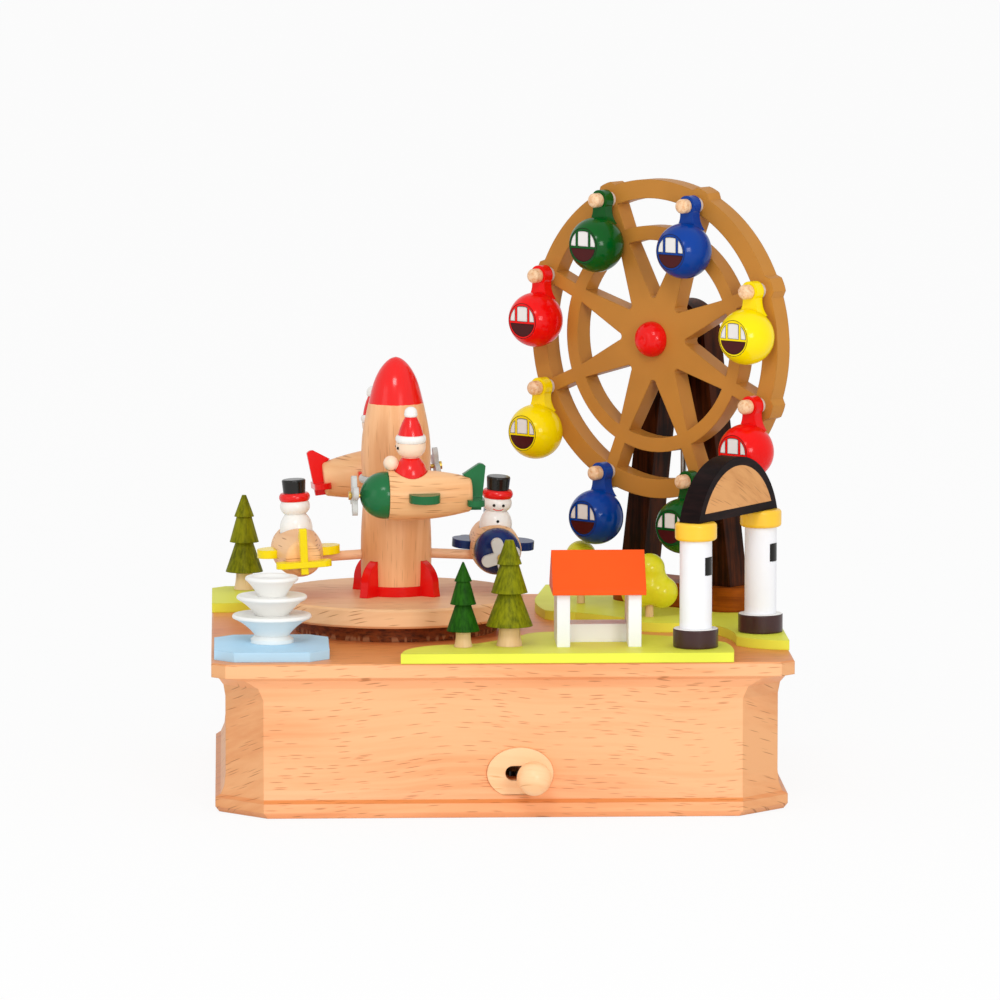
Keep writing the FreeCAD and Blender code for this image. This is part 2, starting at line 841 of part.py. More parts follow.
def cover_screw(name, x, y):
    """A countersunk wood screw, its head flush with the underside of the cover."""
    return fuse(name, cone(name + "_head", SCREW_HEAD, SCREW_SHANK, SCREW_HEAD_HEIGHT,
                           (x, y, 0)),
                rod(name + "_shank", SCREW_SHANK, SCREW_LENGTH, (x, y, 0)))


def cover_and_screws():
    screws = [cover_screw("cover_screw_%d" % i, *spot) for i, spot in enumerate(SCREWS)]
    section = case_section("cover_section", 0,
                           COVE_DEPTH + REBATE_WALL + COVER_GAP, BODY_CUT)
    holes = [cover_screw("screw_hole_%d" % i, *spot) for i, spot in enumerate(SCREWS)]
    opening = rod("key_opening", KEY_OPENING, COVER_THICKNESS + 2, WINDER + (-1,))
    plate = cut("cover_plate", raised("cover_board", section, COVER_THICKNESS),
                opening, *holes)
    finish(plate, "bottom_cover")
    bundle("cover_screws", *screws)


# ---------------------------------------------------------------- spring movement
CYLINDER_LEVEL = TRAIN_LEVEL - SMALL_MODULE * (CYLINDER_TEETH / 2 + ADDENDUM) - GEAR_CLEARANCE
CYLINDER_START = WINDER[0] + SMALL_MODULE * FACE_TEETH / 2
DRUM_START = CYLINDER_START + CYLINDER_GAP
DRUM_END = DRUM_START + CYLINDER_LENGTH
DRUM_HEIGHT = TRAIN_RISE - SMALL_MODULE * TOOTH_HEIGHT - DRUM_GAP
CYLINDER_RADIUS = CYLINDER_LEVEL - BED_TOP - PIP_HEIGHT - CYLINDER_CLEARANCE
LYING = Rotation(Vector(0, 0, 1), Vector(0, -1, 0), Vector(1, 0, 0), "ZXY")
TINES = 15


def movement_bedplate():
    """Bedplate with its legs, the spring's drum, the cylinder's bearings and the comb's rail."""
    left, right = WINDER[0] - GREAT_RADIUS - 4, DRUM_END + BRACKET + 4
    front, back = WINDER[1] - GREAT_RADIUS - BED_MARGIN, CAROUSEL[1] + 7
    plate = box("bed_plate", right - left, back - front, BED_THICKNESS,
                ((left + right) / 2, (front + back) / 2, BED_LEVEL))
    pieces = [plate, rod("spring_drum", DRUM_RADIUS, DRUM_HEIGHT, WINDER + (BED_TOP,))]
    inset = BED_LEG + 0.5
    for i, spot in enumerate(((left + inset, front + inset), (right - inset, front + inset),
                              (left + inset, back - inset), (right - inset, back - inset))):
        pieces.append(rod("bed_leg_%d" % i, BED_LEG, BED_LEVEL - COVER_THICKNESS,
                          spot + (COVER_THICKNESS,)))
    height = CYLINDER_LEVEL + CYLINDER_SHAFT * 2 - BED_TOP
    for name, x in (("near", DRUM_START - BRACKET), ("far", DRUM_END + BRACKET)):
        pieces.append(box("bracket_" + name, BRACKET, BRACKET_HALF * 2, height,
                          (x, WINDER[1], BED_TOP)))
    rail_height = CYLINDER_LEVEL - COMB_THICKNESS / 2 - BED_TOP
    comb_tip = WINDER[1] - CYLINDER_RADIUS - PIP_HEIGHT - COMB_GAP
    rail_y = comb_tip - COMB_DEPTH + COMB_RAIL / 2
    pieces.append(box("comb_rail", CYLINDER_LENGTH, COMB_RAIL, rail_height,
                      ((DRUM_START + DRUM_END) / 2, rail_y, BED_TOP)))
    gap = RUNNING_GAP
    tools = [rod("arbor_bore", SPINDLE_RADIUS + gap, CEILING, WINDER + (0,)),
             rod("spindle_bore", SPINDLE_RADIUS + gap, CEILING, CAROUSEL + (0,)),
             rod("cylinder_bore", CYLINDER_SHAFT + gap, BASE_WIDTH,
                 (CYLINDER_START, WINDER[1], CYLINDER_LEVEL), LYING)]
    finish(cut("bedplate", fuse("bedplate_block", *pieces), *tools), "movement_bedplate")
    tone_comb(comb_tip)


def tone_comb(tip):
    """The steel comb: a plate sawn into tines that end just clear of the cylinder's pins."""
    middle = (DRUM_START + DRUM_END) / 2
    plate = box("comb_plate", CYLINDER_LENGTH, COMB_DEPTH, COMB_THICKNESS,
                (middle, tip - COMB_DEPTH / 2, CYLINDER_LEVEL - COMB_THICKNESS / 2))
    pitch = CYLINDER_LENGTH / TINES
    long = COMB_DEPTH - COMB_RAIL
    cuts = [box("comb_slit_%d" % i, pitch * 0.35, long, COMB_THICKNESS * 3,
                (DRUM_START + i * pitch, tip - long / 2 + 0.5,
                 CYLINDER_LEVEL - COMB_THICKNESS * 1.5)) for i in range(1, TINES)]
    finish(cut("comb", plate, *cuts), "tone_comb")


def pinned_cylinder():
    module = SMALL_MODULE.value
    length = CROWN_RIM.value * 2
    start = CYLINDER_START.value - length / 2
    end = DRUM_END.value + 2.5 * BRACKET.value
    shaft = Part.makeCylinder(CYLINDER_SHAFT.value, end - start)
    pinion = gear(CYLINDER_TEETH, module, 0, length + 0.6, None, (0, 0), -0.3)
    drum = Part.makeCylinder(CYLINDER_RADIUS.value, CYLINDER_LENGTH.value)
    drum.translate(Vector(0, 0, DRUM_START.value - start))
    pitch = CYLINDER_LENGTH.value / TINES
    pips = []
    for i in range(TINES):
        pip = Part.makeCylinder(PIP_RADIUS.value, CYLINDER_RADIUS.value + PIP_HEIGHT.value)
        pip.rotate(Vector(), Vector(0, 1, 0), 90)
        pip.rotate(Vector(), UP, 77.0 * i + 40)
        pip.translate(Vector(0, 0, DRUM_START.value - start + pitch * (i + 0.5)))
        pips.append(pip)
    shape = shaft.fuse([pinion, drum] + pips)
    spot = Vector(start, WINDER[1].value, CYLINDER_LEVEL.value)
    finish(feature("cylinder_turned", shape, Placement(spot, LYING)), "pinned_cylinder")


def winding_key():
    """Butterfly key, arbor and great wheel, whose face teeth drive the cylinder."""
    x, y = WINDER
    level, half = KEY_LEVEL, KEY_THICKNESS / 2
    pieces = [rod("key_boss", KEY_BOSS, BED_LEVEL - level - KEY_BOSS_GAP, (x, y, level)),
              box("key_bridge", KEY_THICKNESS, KEY_REACH * 2, KEY_LOOP,
                  (x, y, level - KEY_LOOP / 2))]
    eyes = []
    for side in (-1, 1):
        spot = (x - half, y + side * KEY_REACH, level)
        pieces.append(rod("key_loop%d" % side, KEY_LOOP, KEY_THICKNESS, spot, LYING))
        eyes.append(rod("key_eye%d" % side, KEY_EYE, KEY_THICKNESS * 3,
                        (x - half * 3, y + side * KEY_REACH, level), LYING))
    pieces.append(rod("arbor", SPINDLE_RADIUS, GEAR_LEVEL - KEY_BOSS_GAP - level, (x, y, level)))
    key = cut("key_with_eyes", fuse("key_solid", *pieces), *eyes)
    finish(fuse("key_and_wheel", key, great_wheel()), "winding_key")


def great_wheel():
    module = SMALL_MODULE.value
    centre = (WINDER[0].value, WINDER[1].value)
    wheel = gear(GREAT_TEETH, module, 0, TRAIN_THICKNESS.value, None, centre,
                 TRAIN_LEVEL.value)
    teeth = crown_teeth(FACE_TEETH, module * FACE_TEETH / 2, 0, TOOTH_HEIGHT * module,
                        2 * CROWN_RIM.value)
    face = Part.makeCompound(teeth)
    face.Placement = Placement(Vector(centre[0], centre[1], TRAIN_LEVEL.value),
                               Rotation(Vector(1, 0, 0), 180))
    return feature("great_wheel", wheel.fuse(face.Solids))


# ---------------------------------------------------------------- gear train under the top
def spur(label, teeth, phase, bore, centre):
    shape = gear(teeth, GEAR_MODULE.value, phase, GEAR_THICKNESS.value, bore,
                 (number(centre[0]), number(centre[1])), GEAR_LEVEL.value)
    return finish(feature(label + "_cut", shape), label)


def gear_train():
    """Drive gear, two idlers on pins and the rod's gear, all in mesh."""
    pin_bore = (IDLER_PIN + RUNNING_GAP).value
    first, second = IDLERS
    spur("drive_gear", DRIVE_TEETH, 0, SPINDLE_RADIUS.value, CAROUSEL)
    phase_a = phase_in_mesh(DRIVE_TEETH, 0, heading(CAROUSEL, first), IDLER_TEETH)
    spur("idler_gear_a", IDLER_TEETH, phase_a, pin_bore, first)
    phase_b = phase_in_mesh(IDLER_TEETH, phase_a, heading(first, second), IDLER_TEETH)
    spur("idler_gear_b", IDLER_TEETH, phase_b, pin_bore, second)
    phase_r = phase_in_mesh(IDLER_TEETH, phase_b, heading(second, ROD_AXIS), ROD_TEETH)
    spur("rod_gear", ROD_TEETH, phase_r, ROD_RADIUS.value, ROD_AXIS)


def gear_pins():
    """Headed pins: two hang from the top and carry the idlers, one carries the lever."""
    pins = []
    for i, spot in enumerate(IDLERS):
        low = GEAR_LEVEL - PIN_FLANGE_HEIGHT
        head = rod("pin_head_%d" % i, PIN_FLANGE, PIN_FLANGE_HEIGHT, spot + (low,))
        shank = rod("pin_shank_%d" % i, IDLER_PIN, CEILING + TOP_THICKNESS / 2 - low,
                    spot + (low,))
        pins.append(fuse("idler_pin_%d" % i, head, shank))
    spot = (SLOT_X, BODY_FRONT + LEVER_PIVOT)
    low = SLOT_Z - LEVER_HUB_HEIGHT / 2
    top = low + LEVER_HUB_HEIGHT + RUNNING_GAP
    pins.append(fuse("lever_post",
                     rod("lever_shoulder", LEVER_PIN * 2, low - COVER_THICKNESS,
                         spot + (COVER_THICKNESS,)),
                     rod("lever_shank", LEVER_PIN, top - low + LEVER_PIN, spot + (low,)),
                     rod("lever_cap", LEVER_PIN * 2, LEVER_PIN, spot + (top,))))
    bundle("gear_pins", *pins)


def stop_lever():
    """Hub on its post, round stem through the slot, ball knob."""
    low = LEVER_HUB_HEIGHT / 2
    block = fuse("lever_block",
                 rod("lever_boss", LEVER_HUB, LEVER_HUB_HEIGHT, (0, 0, -low)),
                 rod("lever_stem", STEM_RADIUS, LEVER_REACH, (0, 0, 0), STANDING),
                 ball("lever_knob", KNOB_BALL, (0, -LEVER_REACH, 0)))
    bore = rod("lever_bore", LEVER_PIN + RUNNING_GAP, LEVER_HUB_HEIGHT * 2,
               (0, 0, -low * 2))
    item = cut("lever_bored", block, bore)
    put(item, (SLOT_X, BODY_FRONT + LEVER_PIVOT, SLOT_Z), Rotation(UP, 10))
    item.setExpression("Placement.Rotation.Angle", "Sizes.lever_angle")
    finish(item, "stop_lever")


# ---------------------------------------------------------------- carousel
def turntable():
    radius, thick, edge = DISC_RADIUS, DISC_THICKNESS, DISC_EDGE
    disc = turned("disc_turned",
                  [(0, 0), (radius - edge, 0), (radius, edge), (radius, thick - edge),
                   (radius - edge, thick), (0, thick)], at=CAROUSEL + (DISC_LEVEL,))
    tenon = DISC_THICKNESS * 0.7
    socket = rod("spindle_socket", SPINDLE_RADIUS, tenon + 1, CAROUSEL + (DISC_LEVEL - 1,))
    finish(cut("disc_bored", disc, socket), "turntable_disc")
    ring = turned("ring_turned",
                  [(RING_HOLE, 0), (RING_RADIUS, 0), (RING_RADIUS, RING_HEIGHT),
                   (RING_HOLE, RING_HEIGHT)], at=CAROUSEL + (CASE_TOP,))
    finish(ring, "turntable_ring")
    shaft = rod("spindle_rod", SPINDLE_RADIUS, DISC_LEVEL + tenon - BED_LEVEL,
                CAROUSEL + (BED_LEVEL,))
    collar = rod("spindle_collar", COLLAR_RADIUS, DISC_RISE, CAROUSEL + (CASE_TOP,))
    pinion = gear(SPINDLE_PINION_TEETH, SMALL_MODULE.value, spindle_phase(),
                  TRAIN_THICKNESS.value, None,
                  (CAROUSEL[0].value, CAROUSEL[1].value), TRAIN_LEVEL.value)
    finish(fuse("spindle_whole", shaft, collar, feature("spindle_pinion", pinion)), "spindle")


def spindle_phase():
    """The great wheel's teeth start at zero, so its pinion is turned to suit."""
    return phase_in_mesh(GREAT_TEETH, 0, heading(WINDER, CAROUSEL), SPINDLE_PINION_TEETH)


PLANES = (("yellow", 180, LOW_FLIGHT, 0, "snowman"),
          ("blue", 0, LOW_FLIGHT, BLUE_PITCH, "snowman"),
          ("green", -90, HIGH_FLIGHT, 0, "doll"),
          ("red", 90, HIGH_FLIGHT, RED_PITCH, "doll"))
FORWARD = Rotation(Vector(0, 1, 0), 90)


def plane_spot(turn, level, pitch):
    """An aeroplane's place: x forward along its clockwise flight, y outward, z up."""
    theta = ARM_TURN.value + turn
    angle = math.radians(theta)
    reach = ARM_REACH.value
    spot = Vector(CAROUSEL_X.value + reach * math.cos(angle),
                  CAROUSEL_Y.value + reach * math.sin(angle), number(level))
    turn = Rotation(UP, theta - 90)
    droop = Rotation(Vector(1, 0, 0), -ARM_DROOP.value)
    nose_up = Rotation(Vector(0, 1, 0), -number(pitch))
    return Placement(spot, turn.multiply(droop).multiply(nose_up))


def rocket():
    """Turned barrel and upper body on the turntable, the band between them, fins at the foot."""
    foot = CAROUSEL + (DISC_TOP,)
    lower = turned("rocket_barrel",
                   [(0, 0), (ROCKET_FOOT, 0), (ROCKET_WAIST, BAND_LEVEL),
                    (0, BAND_LEVEL)], {1: ROCKET_SWELL}, foot)
    start = BAND_LEVEL + BAND_HEIGHT
    dome = NOSE_DOME
    upper = turned("rocket_top",
                   [(0, start), (ROCKET_UPPER, start), (NOSE_RADIUS, NOSE_LEVEL),
                    (NOSE_TIP, ROCKET_HEIGHT - dome), (LATHE_FLAT, ROCKET_HEIGHT),
                    (0, ROCKET_HEIGHT)],
                   {1: UPPER_SWELL, 2: NOSE_SWELL, 3: dome * 0.3}, foot)
    band = turned("band_turned",
                  [(0, BAND_LEVEL), (BAND_RADIUS - BAND_SWELL, BAND_LEVEL),
                   (BAND_RADIUS - BAND_SWELL, start), (0, start)],
                  {1: BAND_SWELL}, foot)
    finish(band, "rocket_band")
    arms = copies("plane_arms", plane_arm(),
                  [plane_spot(turn, level, pitch) for _, turn, level, pitch, _ in PLANES])
    bundle("rocket_body", cut("barrel_bored", lower, arms), upper)
    rocket_fins(lower, foot)


def rocket_fins(barrel, foot):
    hoop = turned("hoop_turned",
                  [(ROCKET_FOOT - 4, 0), (HOOP_RADIUS, 0), (HOOP_RADIUS, HOOP_HEIGHT),
                   (ROCKET_FOOT - 4, HOOP_HEIGHT)], at=foot)
    reach = FIN_REACH
    fins = []
    for i in range(4):
        turn = Rotation(UP, ARM_TURN.value + 45 + 90 * i).multiply(STANDING)
        fins.append(slab("fin_%d" % i,
                         [(ROCKET_FOOT - 3, 0), (reach, 0), (reach - 0.6, HOOP_HEIGHT),
                          (ROCKET_FOOT, FIN_HEIGHT), (ROCKET_FOOT - 3, FIN_HEIGHT)],
                         FIN_THICKNESS, {2: FIN_FOOT * 0.3}, turn, foot, both_ways=True))
    finish(cut("fins_fitted", fuse("fins_and_hoop", hoop, *fins), barrel), "rocket_fins")


def plane_arm():
    """A dowel from the rocket's barrel into the aeroplane's side, in the aeroplane's frame."""
    inner = ARM_REACH / cosine(ARM_DROOP) - ROCKET_WAIST + ARM_TENON
    outer = PLANE_FRONT - ARM_TENON
    return rod("arm_dowel", ARM_RADIUS, inner - outer, (0, -outer, -ARM_DROP), STANDING)


def plane_parts():
    """The turned fuselage and its nose, both upright as on the lathe."""
    joint, back = PLANE_JOINT, PLANE_BACK
    body = turned("fuselage_turned",
                  [(0, -back), (PLANE_TAIL - TAIL_ROUND, -back),
                   (PLANE_TAIL, TAIL_ROUND - back), (PLANE_FRONT, joint), (0, joint)],
                  {1: TAIL_ROUND * 0.3, 2: PLANE_SWELL})
    nose = turned("nose_turned",
                  [(0, joint), (NOSE_BALL, joint), (LATHE_FLAT, joint + NOSE_LENGTH),
                   (0, joint + NOSE_LENGTH)],
                  {1: NOSE_LENGTH * 0.27})
    return body, nose


def lathe_forward(label, item):
    """Lay an upright turned piece along the aeroplane's x axis."""
    doc.recompute()
    shape = item.Shape.copy()
    shape.Placement = Placement(Vector(), FORWARD).multiply(shape.Placement)
    return feature(label, shape)


def wing():
    half = WING_SPAN / 2 - WING_CHORD / 2
    level = WING_RISE - WING_THICKNESS / 2
    board = [box("wing_middle", WING_CHORD, half * 2, WING_THICKNESS,
                 (WING_PLACE, 0, level))]
    for side in (-1, 1):
        board.append(rod("wing_tip%d" % side, WING_CHORD / 2, WING_THICKNESS,
                         (WING_PLACE, side * half, level)))
    return fuse("wing", *board)


def tail_boards(fuselage):
    back = PLANE_BACK
    fin = slab("fin_board",
               [(0.8 - back, -FIN_BOTTOM), (0.8 - back, PLANE_TAIL - 0.6),
                (3.2 - back, PLANE_TAIL + 0.8), (-back - FIN_RAKE * 0.5, FIN_TOP),
                (-back - FIN_RAKE, FIN_TOP - 0.8), (-back - FIN_RAKE * 0.7, -FIN_BOTTOM)],
               FIN_BOARD, {3: 0.4}, STANDING, both_ways=True)
    half = TAILPLANE_SPAN / 2 - TAILPLANE_CHORD / 2
    level = -TAILPLANE_DROP
    middle = TAILPLANE_CHORD / 2 - 0.6 - FIN_RAKE * 0.7 - back
    boards = [fin, box("tailplane_middle", TAILPLANE_CHORD, half * 2, TAILPLANE_BOARD,
                       (middle, 0, level))]
    for side in (-1, 1):
        boards.append(rod("tailplane_tip%d" % side, TAILPLANE_CHORD / 2, TAILPLANE_BOARD,
                          (middle, side * half, level)))
    return cut("tail_boards", fuse("tail_board_block", *boards), fuselage)


def snowman():
    """Turned snowman in a brimmed hat."""
    low, neck = SEAT_LEVEL, SNOW_SHOULDER
    head, level = SNOW_HEAD, SNOW_HEAD_LEVEL
    rim = BRIM_LEVEL
    top = rim + BRIM_HEIGHT
    return turned("snowman_turned",
                  [(0, low), (SNOW_BODY, low), (SNOW_BODY, low + 6.3), (SNOW_NECK, neck),
                   (head - 0.4, rim), (BRIM_RADIUS - 0.7, rim), (BRIM_RADIUS - 0.7, top),
                   (HAT_RADIUS, top), (HAT_RADIUS + 0.3, HAT_TOP - 0.6),
                   (HAT_RADIUS - 0.4, HAT_TOP), (0, HAT_TOP)],
                  {2: 0.5, 3: 1.1, 5: 0.7, 8: 0.2})


def doll():
    """Turned peg doll in a cone hat with a cuff and a bobble."""
    low, body = SEAT_LEVEL, DOLL_BODY_LEVEL
    neck = body + DOLL_BODY * 0.88
    cuff, cuff_top = CUFF_LEVEL, CUFF_LEVEL + CUFF_HEIGHT
    bobble = CONE_TOP + BOBBLE * 0.6
    return turned("doll_turned",
                  [(0, low), (DOLL_BODY - 1.2, low), (DOLL_NECK, neck),
                   (DOLL_HEAD, DOLL_HEAD_LEVEL), (DOLL_HEAD, cuff),
                   (CUFF_RADIUS - 0.5, cuff), (CUFF_RADIUS - 0.5, cuff_top),
                   (CUFF_RADIUS - 0.9, cuff_top), (CONE_TIP, CONE_TOP),
                   (BOBBLE, bobble), (LATHE_FLAT, bobble + BOBBLE),
                   (0, bobble + BOBBLE)],
                  {1: DOLL_SWELL, 2: 0.8, 5: 0.5, 7: 0.3, 8: 0.25, 9: 0.62})


def seated(item, place):
    """Move a figure from the aeroplane's middle to its place along the fuselage."""
    doc.recompute()
    shape = item.Shape.copy()
    shape.translate(Vector(number(place), 0, 0))
    return feature(item.Name + "_seated", shape)


def aeroplanes():
    body, nose = plane_parts()
    fuselage, nose = lathe_forward("fuselage", body), lathe_forward("nose_cone", nose)
    wings, tail = wing(), tail_boards(fuselage)
    seat = rod("seat_well", SEAT_RADIUS, PLANE_FRONT * 2, (SEAT_PLACE, 0, SEAT_LEVEL))
    tip = PLANE_JOINT + NOSE_LENGTH
    pin_start, pin_end = tip - 5, tip + FAN_GAP + FAN_THICKNESS + PIN_PLAY
    pin = fuse("propeller_pin",
               rod("pin_shaft", PIN_RADIUS, pin_end - pin_start, (pin_start, 0, 0), FORWARD),
               rod("pin_button", PIN_HEAD, PIN_HEAD_LENGTH, (pin_end, 0, 0), FORWARD))
    nose = cut("nose_drilled", nose, pin)
    pilots = {"snowman": seated(snowman(), SEAT_PLACE),
              "doll": fuse("doll_and_hands", seated(doll(), SEAT_PLACE),
                           ball("hands", HANDS, (HANDS_PLACE, 0, HANDS_LEVEL)))}
    arm_tool = plane_arm()
    hulls = {kind: cut("hull_for_" + kind, fuselage, wings, seat, arm_tool, pilot)
             for kind, pilot in pilots.items()}
    trim = doc.addObject("Part::Compound", "trim_set")
    trim.Links = [wings, tail, nose]
    fan = propeller(tip + FAN_GAP)
    doc.recompute()
    spots = {name: plane_spot(turn, level, pitch) for name, turn, level, pitch, _ in PLANES}
    kinds = {name: kind for name, _, _, _, kind in PLANES}
    bodies = []
    for name in spots:
        shape = hulls[kinds[name]].Shape.copy()
        shape.Placement = spots[name].multiply(shape.Placement)
        bodies.append(shape)
    finish(feature("plane_bodies", Part.makeCompound(bodies)), "plane_bodies")
    for name in spots:
        copies(name + "_trim", trim, [spots[name]])
    copies("propeller_pins", pin, list(spots.values()))
    for i, name in enumerate(spots):
        copies("propeller_%d" % (i + 1), fan, [spots[name]])
    for label, kind in (("snowmen", "snowman"), ("dolls", "doll")):
        copies(label, pilots[kind], [spots[name] for name in spots if kinds[name] == kind])


def propeller(start):
    """Four round-ended blades round a bore."""
    reach = FAN_RADIUS - FAN_BLADE
    blades = []
    for i in range(2):
        turn = Rotation(Vector(1, 0, 0), 20 + 90 * i)
        blades.append(box("blade_pair%d" % i, FAN_THICKNESS, reach * 2, FAN_BLADE * 2,
                          turned_point(start + FAN_THICKNESS / 2, -FAN_BLADE, turn), turn))
        for side in (-1, 1):
            spot = turn.multVec(Vector(0, side * reach.value, 0))
            blades.append(rod("blade_end%d%d" % (i, side + 1), FAN_BLADE, FAN_THICKNESS,
                              (start, spot.y, spot.z), FORWARD))
    bore = rod("fan_bore", PIN_RADIUS + RUNNING_GAP, FAN_THICKNESS * 3,
               (start - FAN_THICKNESS, 0, 0), FORWARD)
    return cut("propeller_bored", fuse("propeller_blades", *blades), bore)


def turned_point(x, drop, turn):
    """Where the middle of a turned blade's lower face lies."""
    spot = turn.multVec(Vector(0, 0, number(drop)))
    return (x, spot.y, spot.z)


# ---------------------------------------------------------------- big wheel
SPOKES = 8
HALF_STEP = 180.0 / SPOKES


def mirrored(x, y):
    """A point mirrored in the line midway between two spokes."""
    c, s = math.cos(math.radians(2 * HALF_STEP)), math.sin(math.radians(2 * HALF_STEP))
    return (x * c + y * s, x * s - y * c)


def bow_of(radius, x, y):
    """How far an arc about the hub stands out beyond its chord from a point to its mirror."""
    c, s = math.cos(math.radians(HALF_STEP)), math.sin(math.radians(HALF_STEP))
    return radius - (x * c + y * s)


def wheel_disc():
    """Disc with two rings of windows between eight spokes, bumps and peg holes at each."""
    body = doc.addObject("PartDesign::Body", "wheel_board")
    pad = feature_from(body, "PartDesign::Pad", "wheel_pad",
                       circle("wheel_circle", WHEEL_RADIUS, body), WHEEL_THICKNESS)
    pad.Reversed = True
    root_x = root(WHEEL_RADIUS * WHEEL_RADIUS - BUMP_HALF * BUMP_HALF)
    bump = feature_from(body, "PartDesign::Pad", "bump_pad", outline(
        "bump_outline", [(root_x - 3, -BUMP_HALF), (root_x, -BUMP_HALF),
                         (WHEEL_RADIUS + BUMP_HEIGHT, -BUMP_HALF * 0.6),
                         (WHEEL_RADIUS + BUMP_HEIGHT, BUMP_HALF * 0.6),
                         (root_x, BUMP_HALF), (root_x - 3, BUMP_HALF)],
        {2: 0.2}, body=body), WHEEL_THICKNESS)
    bump.Reversed = True
    half = SPOKE_RIM / 2
    inner = (root(RING_INSIDE * RING_INSIDE - half * half), half)
    slope = (SPOKE_HUB - SPOKE_RIM) / 2 / (RING_INSIDE - HUB_REACH)
    near = (HUB_REACH, half + slope * (RING_INSIDE - HUB_REACH))
    window = [near, inner, mirrored(*inner), mirrored(*near)]
    cut_inner = feature_from(body, "PartDesign::Pocket", "inner_window", outline(
        "inner_outline", window, {1: bow_of(RING_INSIDE, *inner), 3: TIP_ROUND}, body=body))
    low = (root(RING_OUTSIDE * RING_OUTSIDE - half * half), half)
    high = (root(RIM_INSIDE * RIM_INSIDE - half * half), half)
    cut_outer = feature_from(body, "PartDesign::Pocket", "outer_window", outline(
        "outer_outline", [low, high, mirrored(*high), mirrored(*low)],
        {1: bow_of(RIM_INSIDE, *high), 3: -bow_of(RING_OUTSIDE, *low)}, body=body))
    hole = feature_from(body, "PartDesign::Pocket", "peg_hole",
                        circle("peg_circle_sketch", PEG_RADIUS, body, PEG_CIRCLE),
                        WHEEL_THICKNESS * 0.75)
    pattern = body.newObject("PartDesign::PolarPattern", "spoke_pattern")
    pattern.Originals = [bump, cut_inner, cut_outer, hole]
    pattern.Axis = (pad.Profile[0], ["N_Axis"])
    pattern.Angle = 360
    pattern.Occurrences = SPOKES
    body.Tip = pattern
    bore = feature_from(body, "PartDesign::Pocket", "axle_bore",
                        circle("bore_circle", AXLE_RADIUS, body))
    body.Tip = bore
    turn = Rotation(UP, -WHEEL_TURN.value).multiply(STANDING).multiply(Rotation(UP, HALF_STEP))
    finish(put(body, (WHEEL_X, WHEEL_Y, HUB_LEVEL), turn), "wheel_disc")


def feature_from(body, kind, name, sketch, length=None):
    """A pad, or a pocket that goes right through unless it is given a depth."""
    item = body.newObject(kind, name)
    item.Profile = sketch
    if length is None:
        item.Type = 1
        return item
    return tie(item, Length=length)


def peg_spots():
    """The pegs' places, clockwise from the upper left, as seen from the front."""
    spots = []
    for i in range(SPOKES):
        angle = math.radians(90 + HALF_STEP - 2 * HALF_STEP * i)
        reach = PEG_CIRCLE.value
        local = Placement(Vector(reach * math.cos(angle), 0, reach * math.sin(angle)), Rotation())
        spots.append(FRAME.multiply(local))
    return spots


EAR_FRONT = WASHER_THICKNESS + EAR_PLAY + EAR_THICKNESS


def pegs():
    """A dowel with a round-ended head, and the washer behind the gondola's ear."""
    depth = WHEEL_THICKNESS * 0.75
    head = EAR_FRONT + EAR_PLAY
    shank = rod("peg_shank", PEG_RADIUS, depth + head, (0, depth, 0), STANDING)
    dome = PEG_HEAD_LENGTH - 1.2
    button = turned("peg_button_turned",
                    [(0, head), (PEG_HEAD, head), (PEG_HEAD, head + dome),
                     (LATHE_FLAT, head + PEG_HEAD_LENGTH),
                     (0, head + PEG_HEAD_LENGTH)], {2: 0.5})
    peg = fuse("peg", shank, laid_out("peg_button", button))
    washer = cut("washer", rod("washer_disc", WASHER_RADIUS, WASHER_THICKNESS, (0, 0, 0),
                               STANDING),
                 rod("washer_bore", PEG_RADIUS, WASHER_THICKNESS * 3,
                     (0, WASHER_THICKNESS, 0), STANDING))
    pair = doc.addObject("Part::Compound", "peg_and_washer")
    pair.Links = [peg, washer]
    copies("wheel_pegs", pair, peg_spots())


def laid_out(label, item):
    """Lay an upright turned piece so that its axis points out of the wheel."""
    doc.recompute()
    shape = item.Shape.copy()
    shape.Placement = Placement(Vector(), STANDING).multiply(shape.Placement)
    return feature(label, shape)


def gondolas():
    """Round cabin cut flat in front and behind, hung by a board neck and an ear."""
    back = WASHER_THICKNESS + EAR_PLAY
    cabin_y = -(back + BALL_BACK)
    cabin = meet("cabin", ball("cabin_ball", BALL_RADIUS, (0, cabin_y, -BALL_DROP)),
                 box("cabin_limits", BALL_RADIUS * 3, BALL_BACK + BALL_FRONT,
                     BALL_RADIUS * 3, (0, cabin_y + (BALL_BACK - BALL_FRONT) / 2,
                                         -BALL_DROP - BALL_RADIUS * 1.5)))
    ear = rod("ear", EAR_RADIUS, EAR_THICKNESS, (0, -back, 0), STANDING)
    half, low = NECK_WIDTH / 2, -(BALL_DROP - BALL_RADIUS + 2.6)
    neck = slab("neck", [(-half - 2.4, low), (half + 2.4, low), (half, -EAR_RADIUS * 0.55),
                         (-half, -EAR_RADIUS * 0.55)],
                EAR_THICKNESS, {1: -0.9, 3: -0.9}, STANDING, (0, -back, 0))
    bore = rod("ear_bore", PEG_RADIUS + RUNNING_GAP, EAR_THICKNESS * 3,
               (0, EAR_THICKNESS - back, 0), STANDING)
    gondola = cut("gondola", fuse("gondola_block", cabin, ear, neck), bore)
    for i, spot in enumerate(peg_spots()):
        copies("gondola_%d" % (i + 1), gondola, [spot])


CROWN_FACE = POST_MIDDLE + PINION_RADIUS + ADDENDUM * TOWER_MODULE + GEAR_CLEARANCE
CROWN_TIPS = CROWN_FACE - TOOTH_HEIGHT * TOWER_MODULE
PINION_LEVEL = HUB_LEVEL - CROWN_RADIUS - 1.8


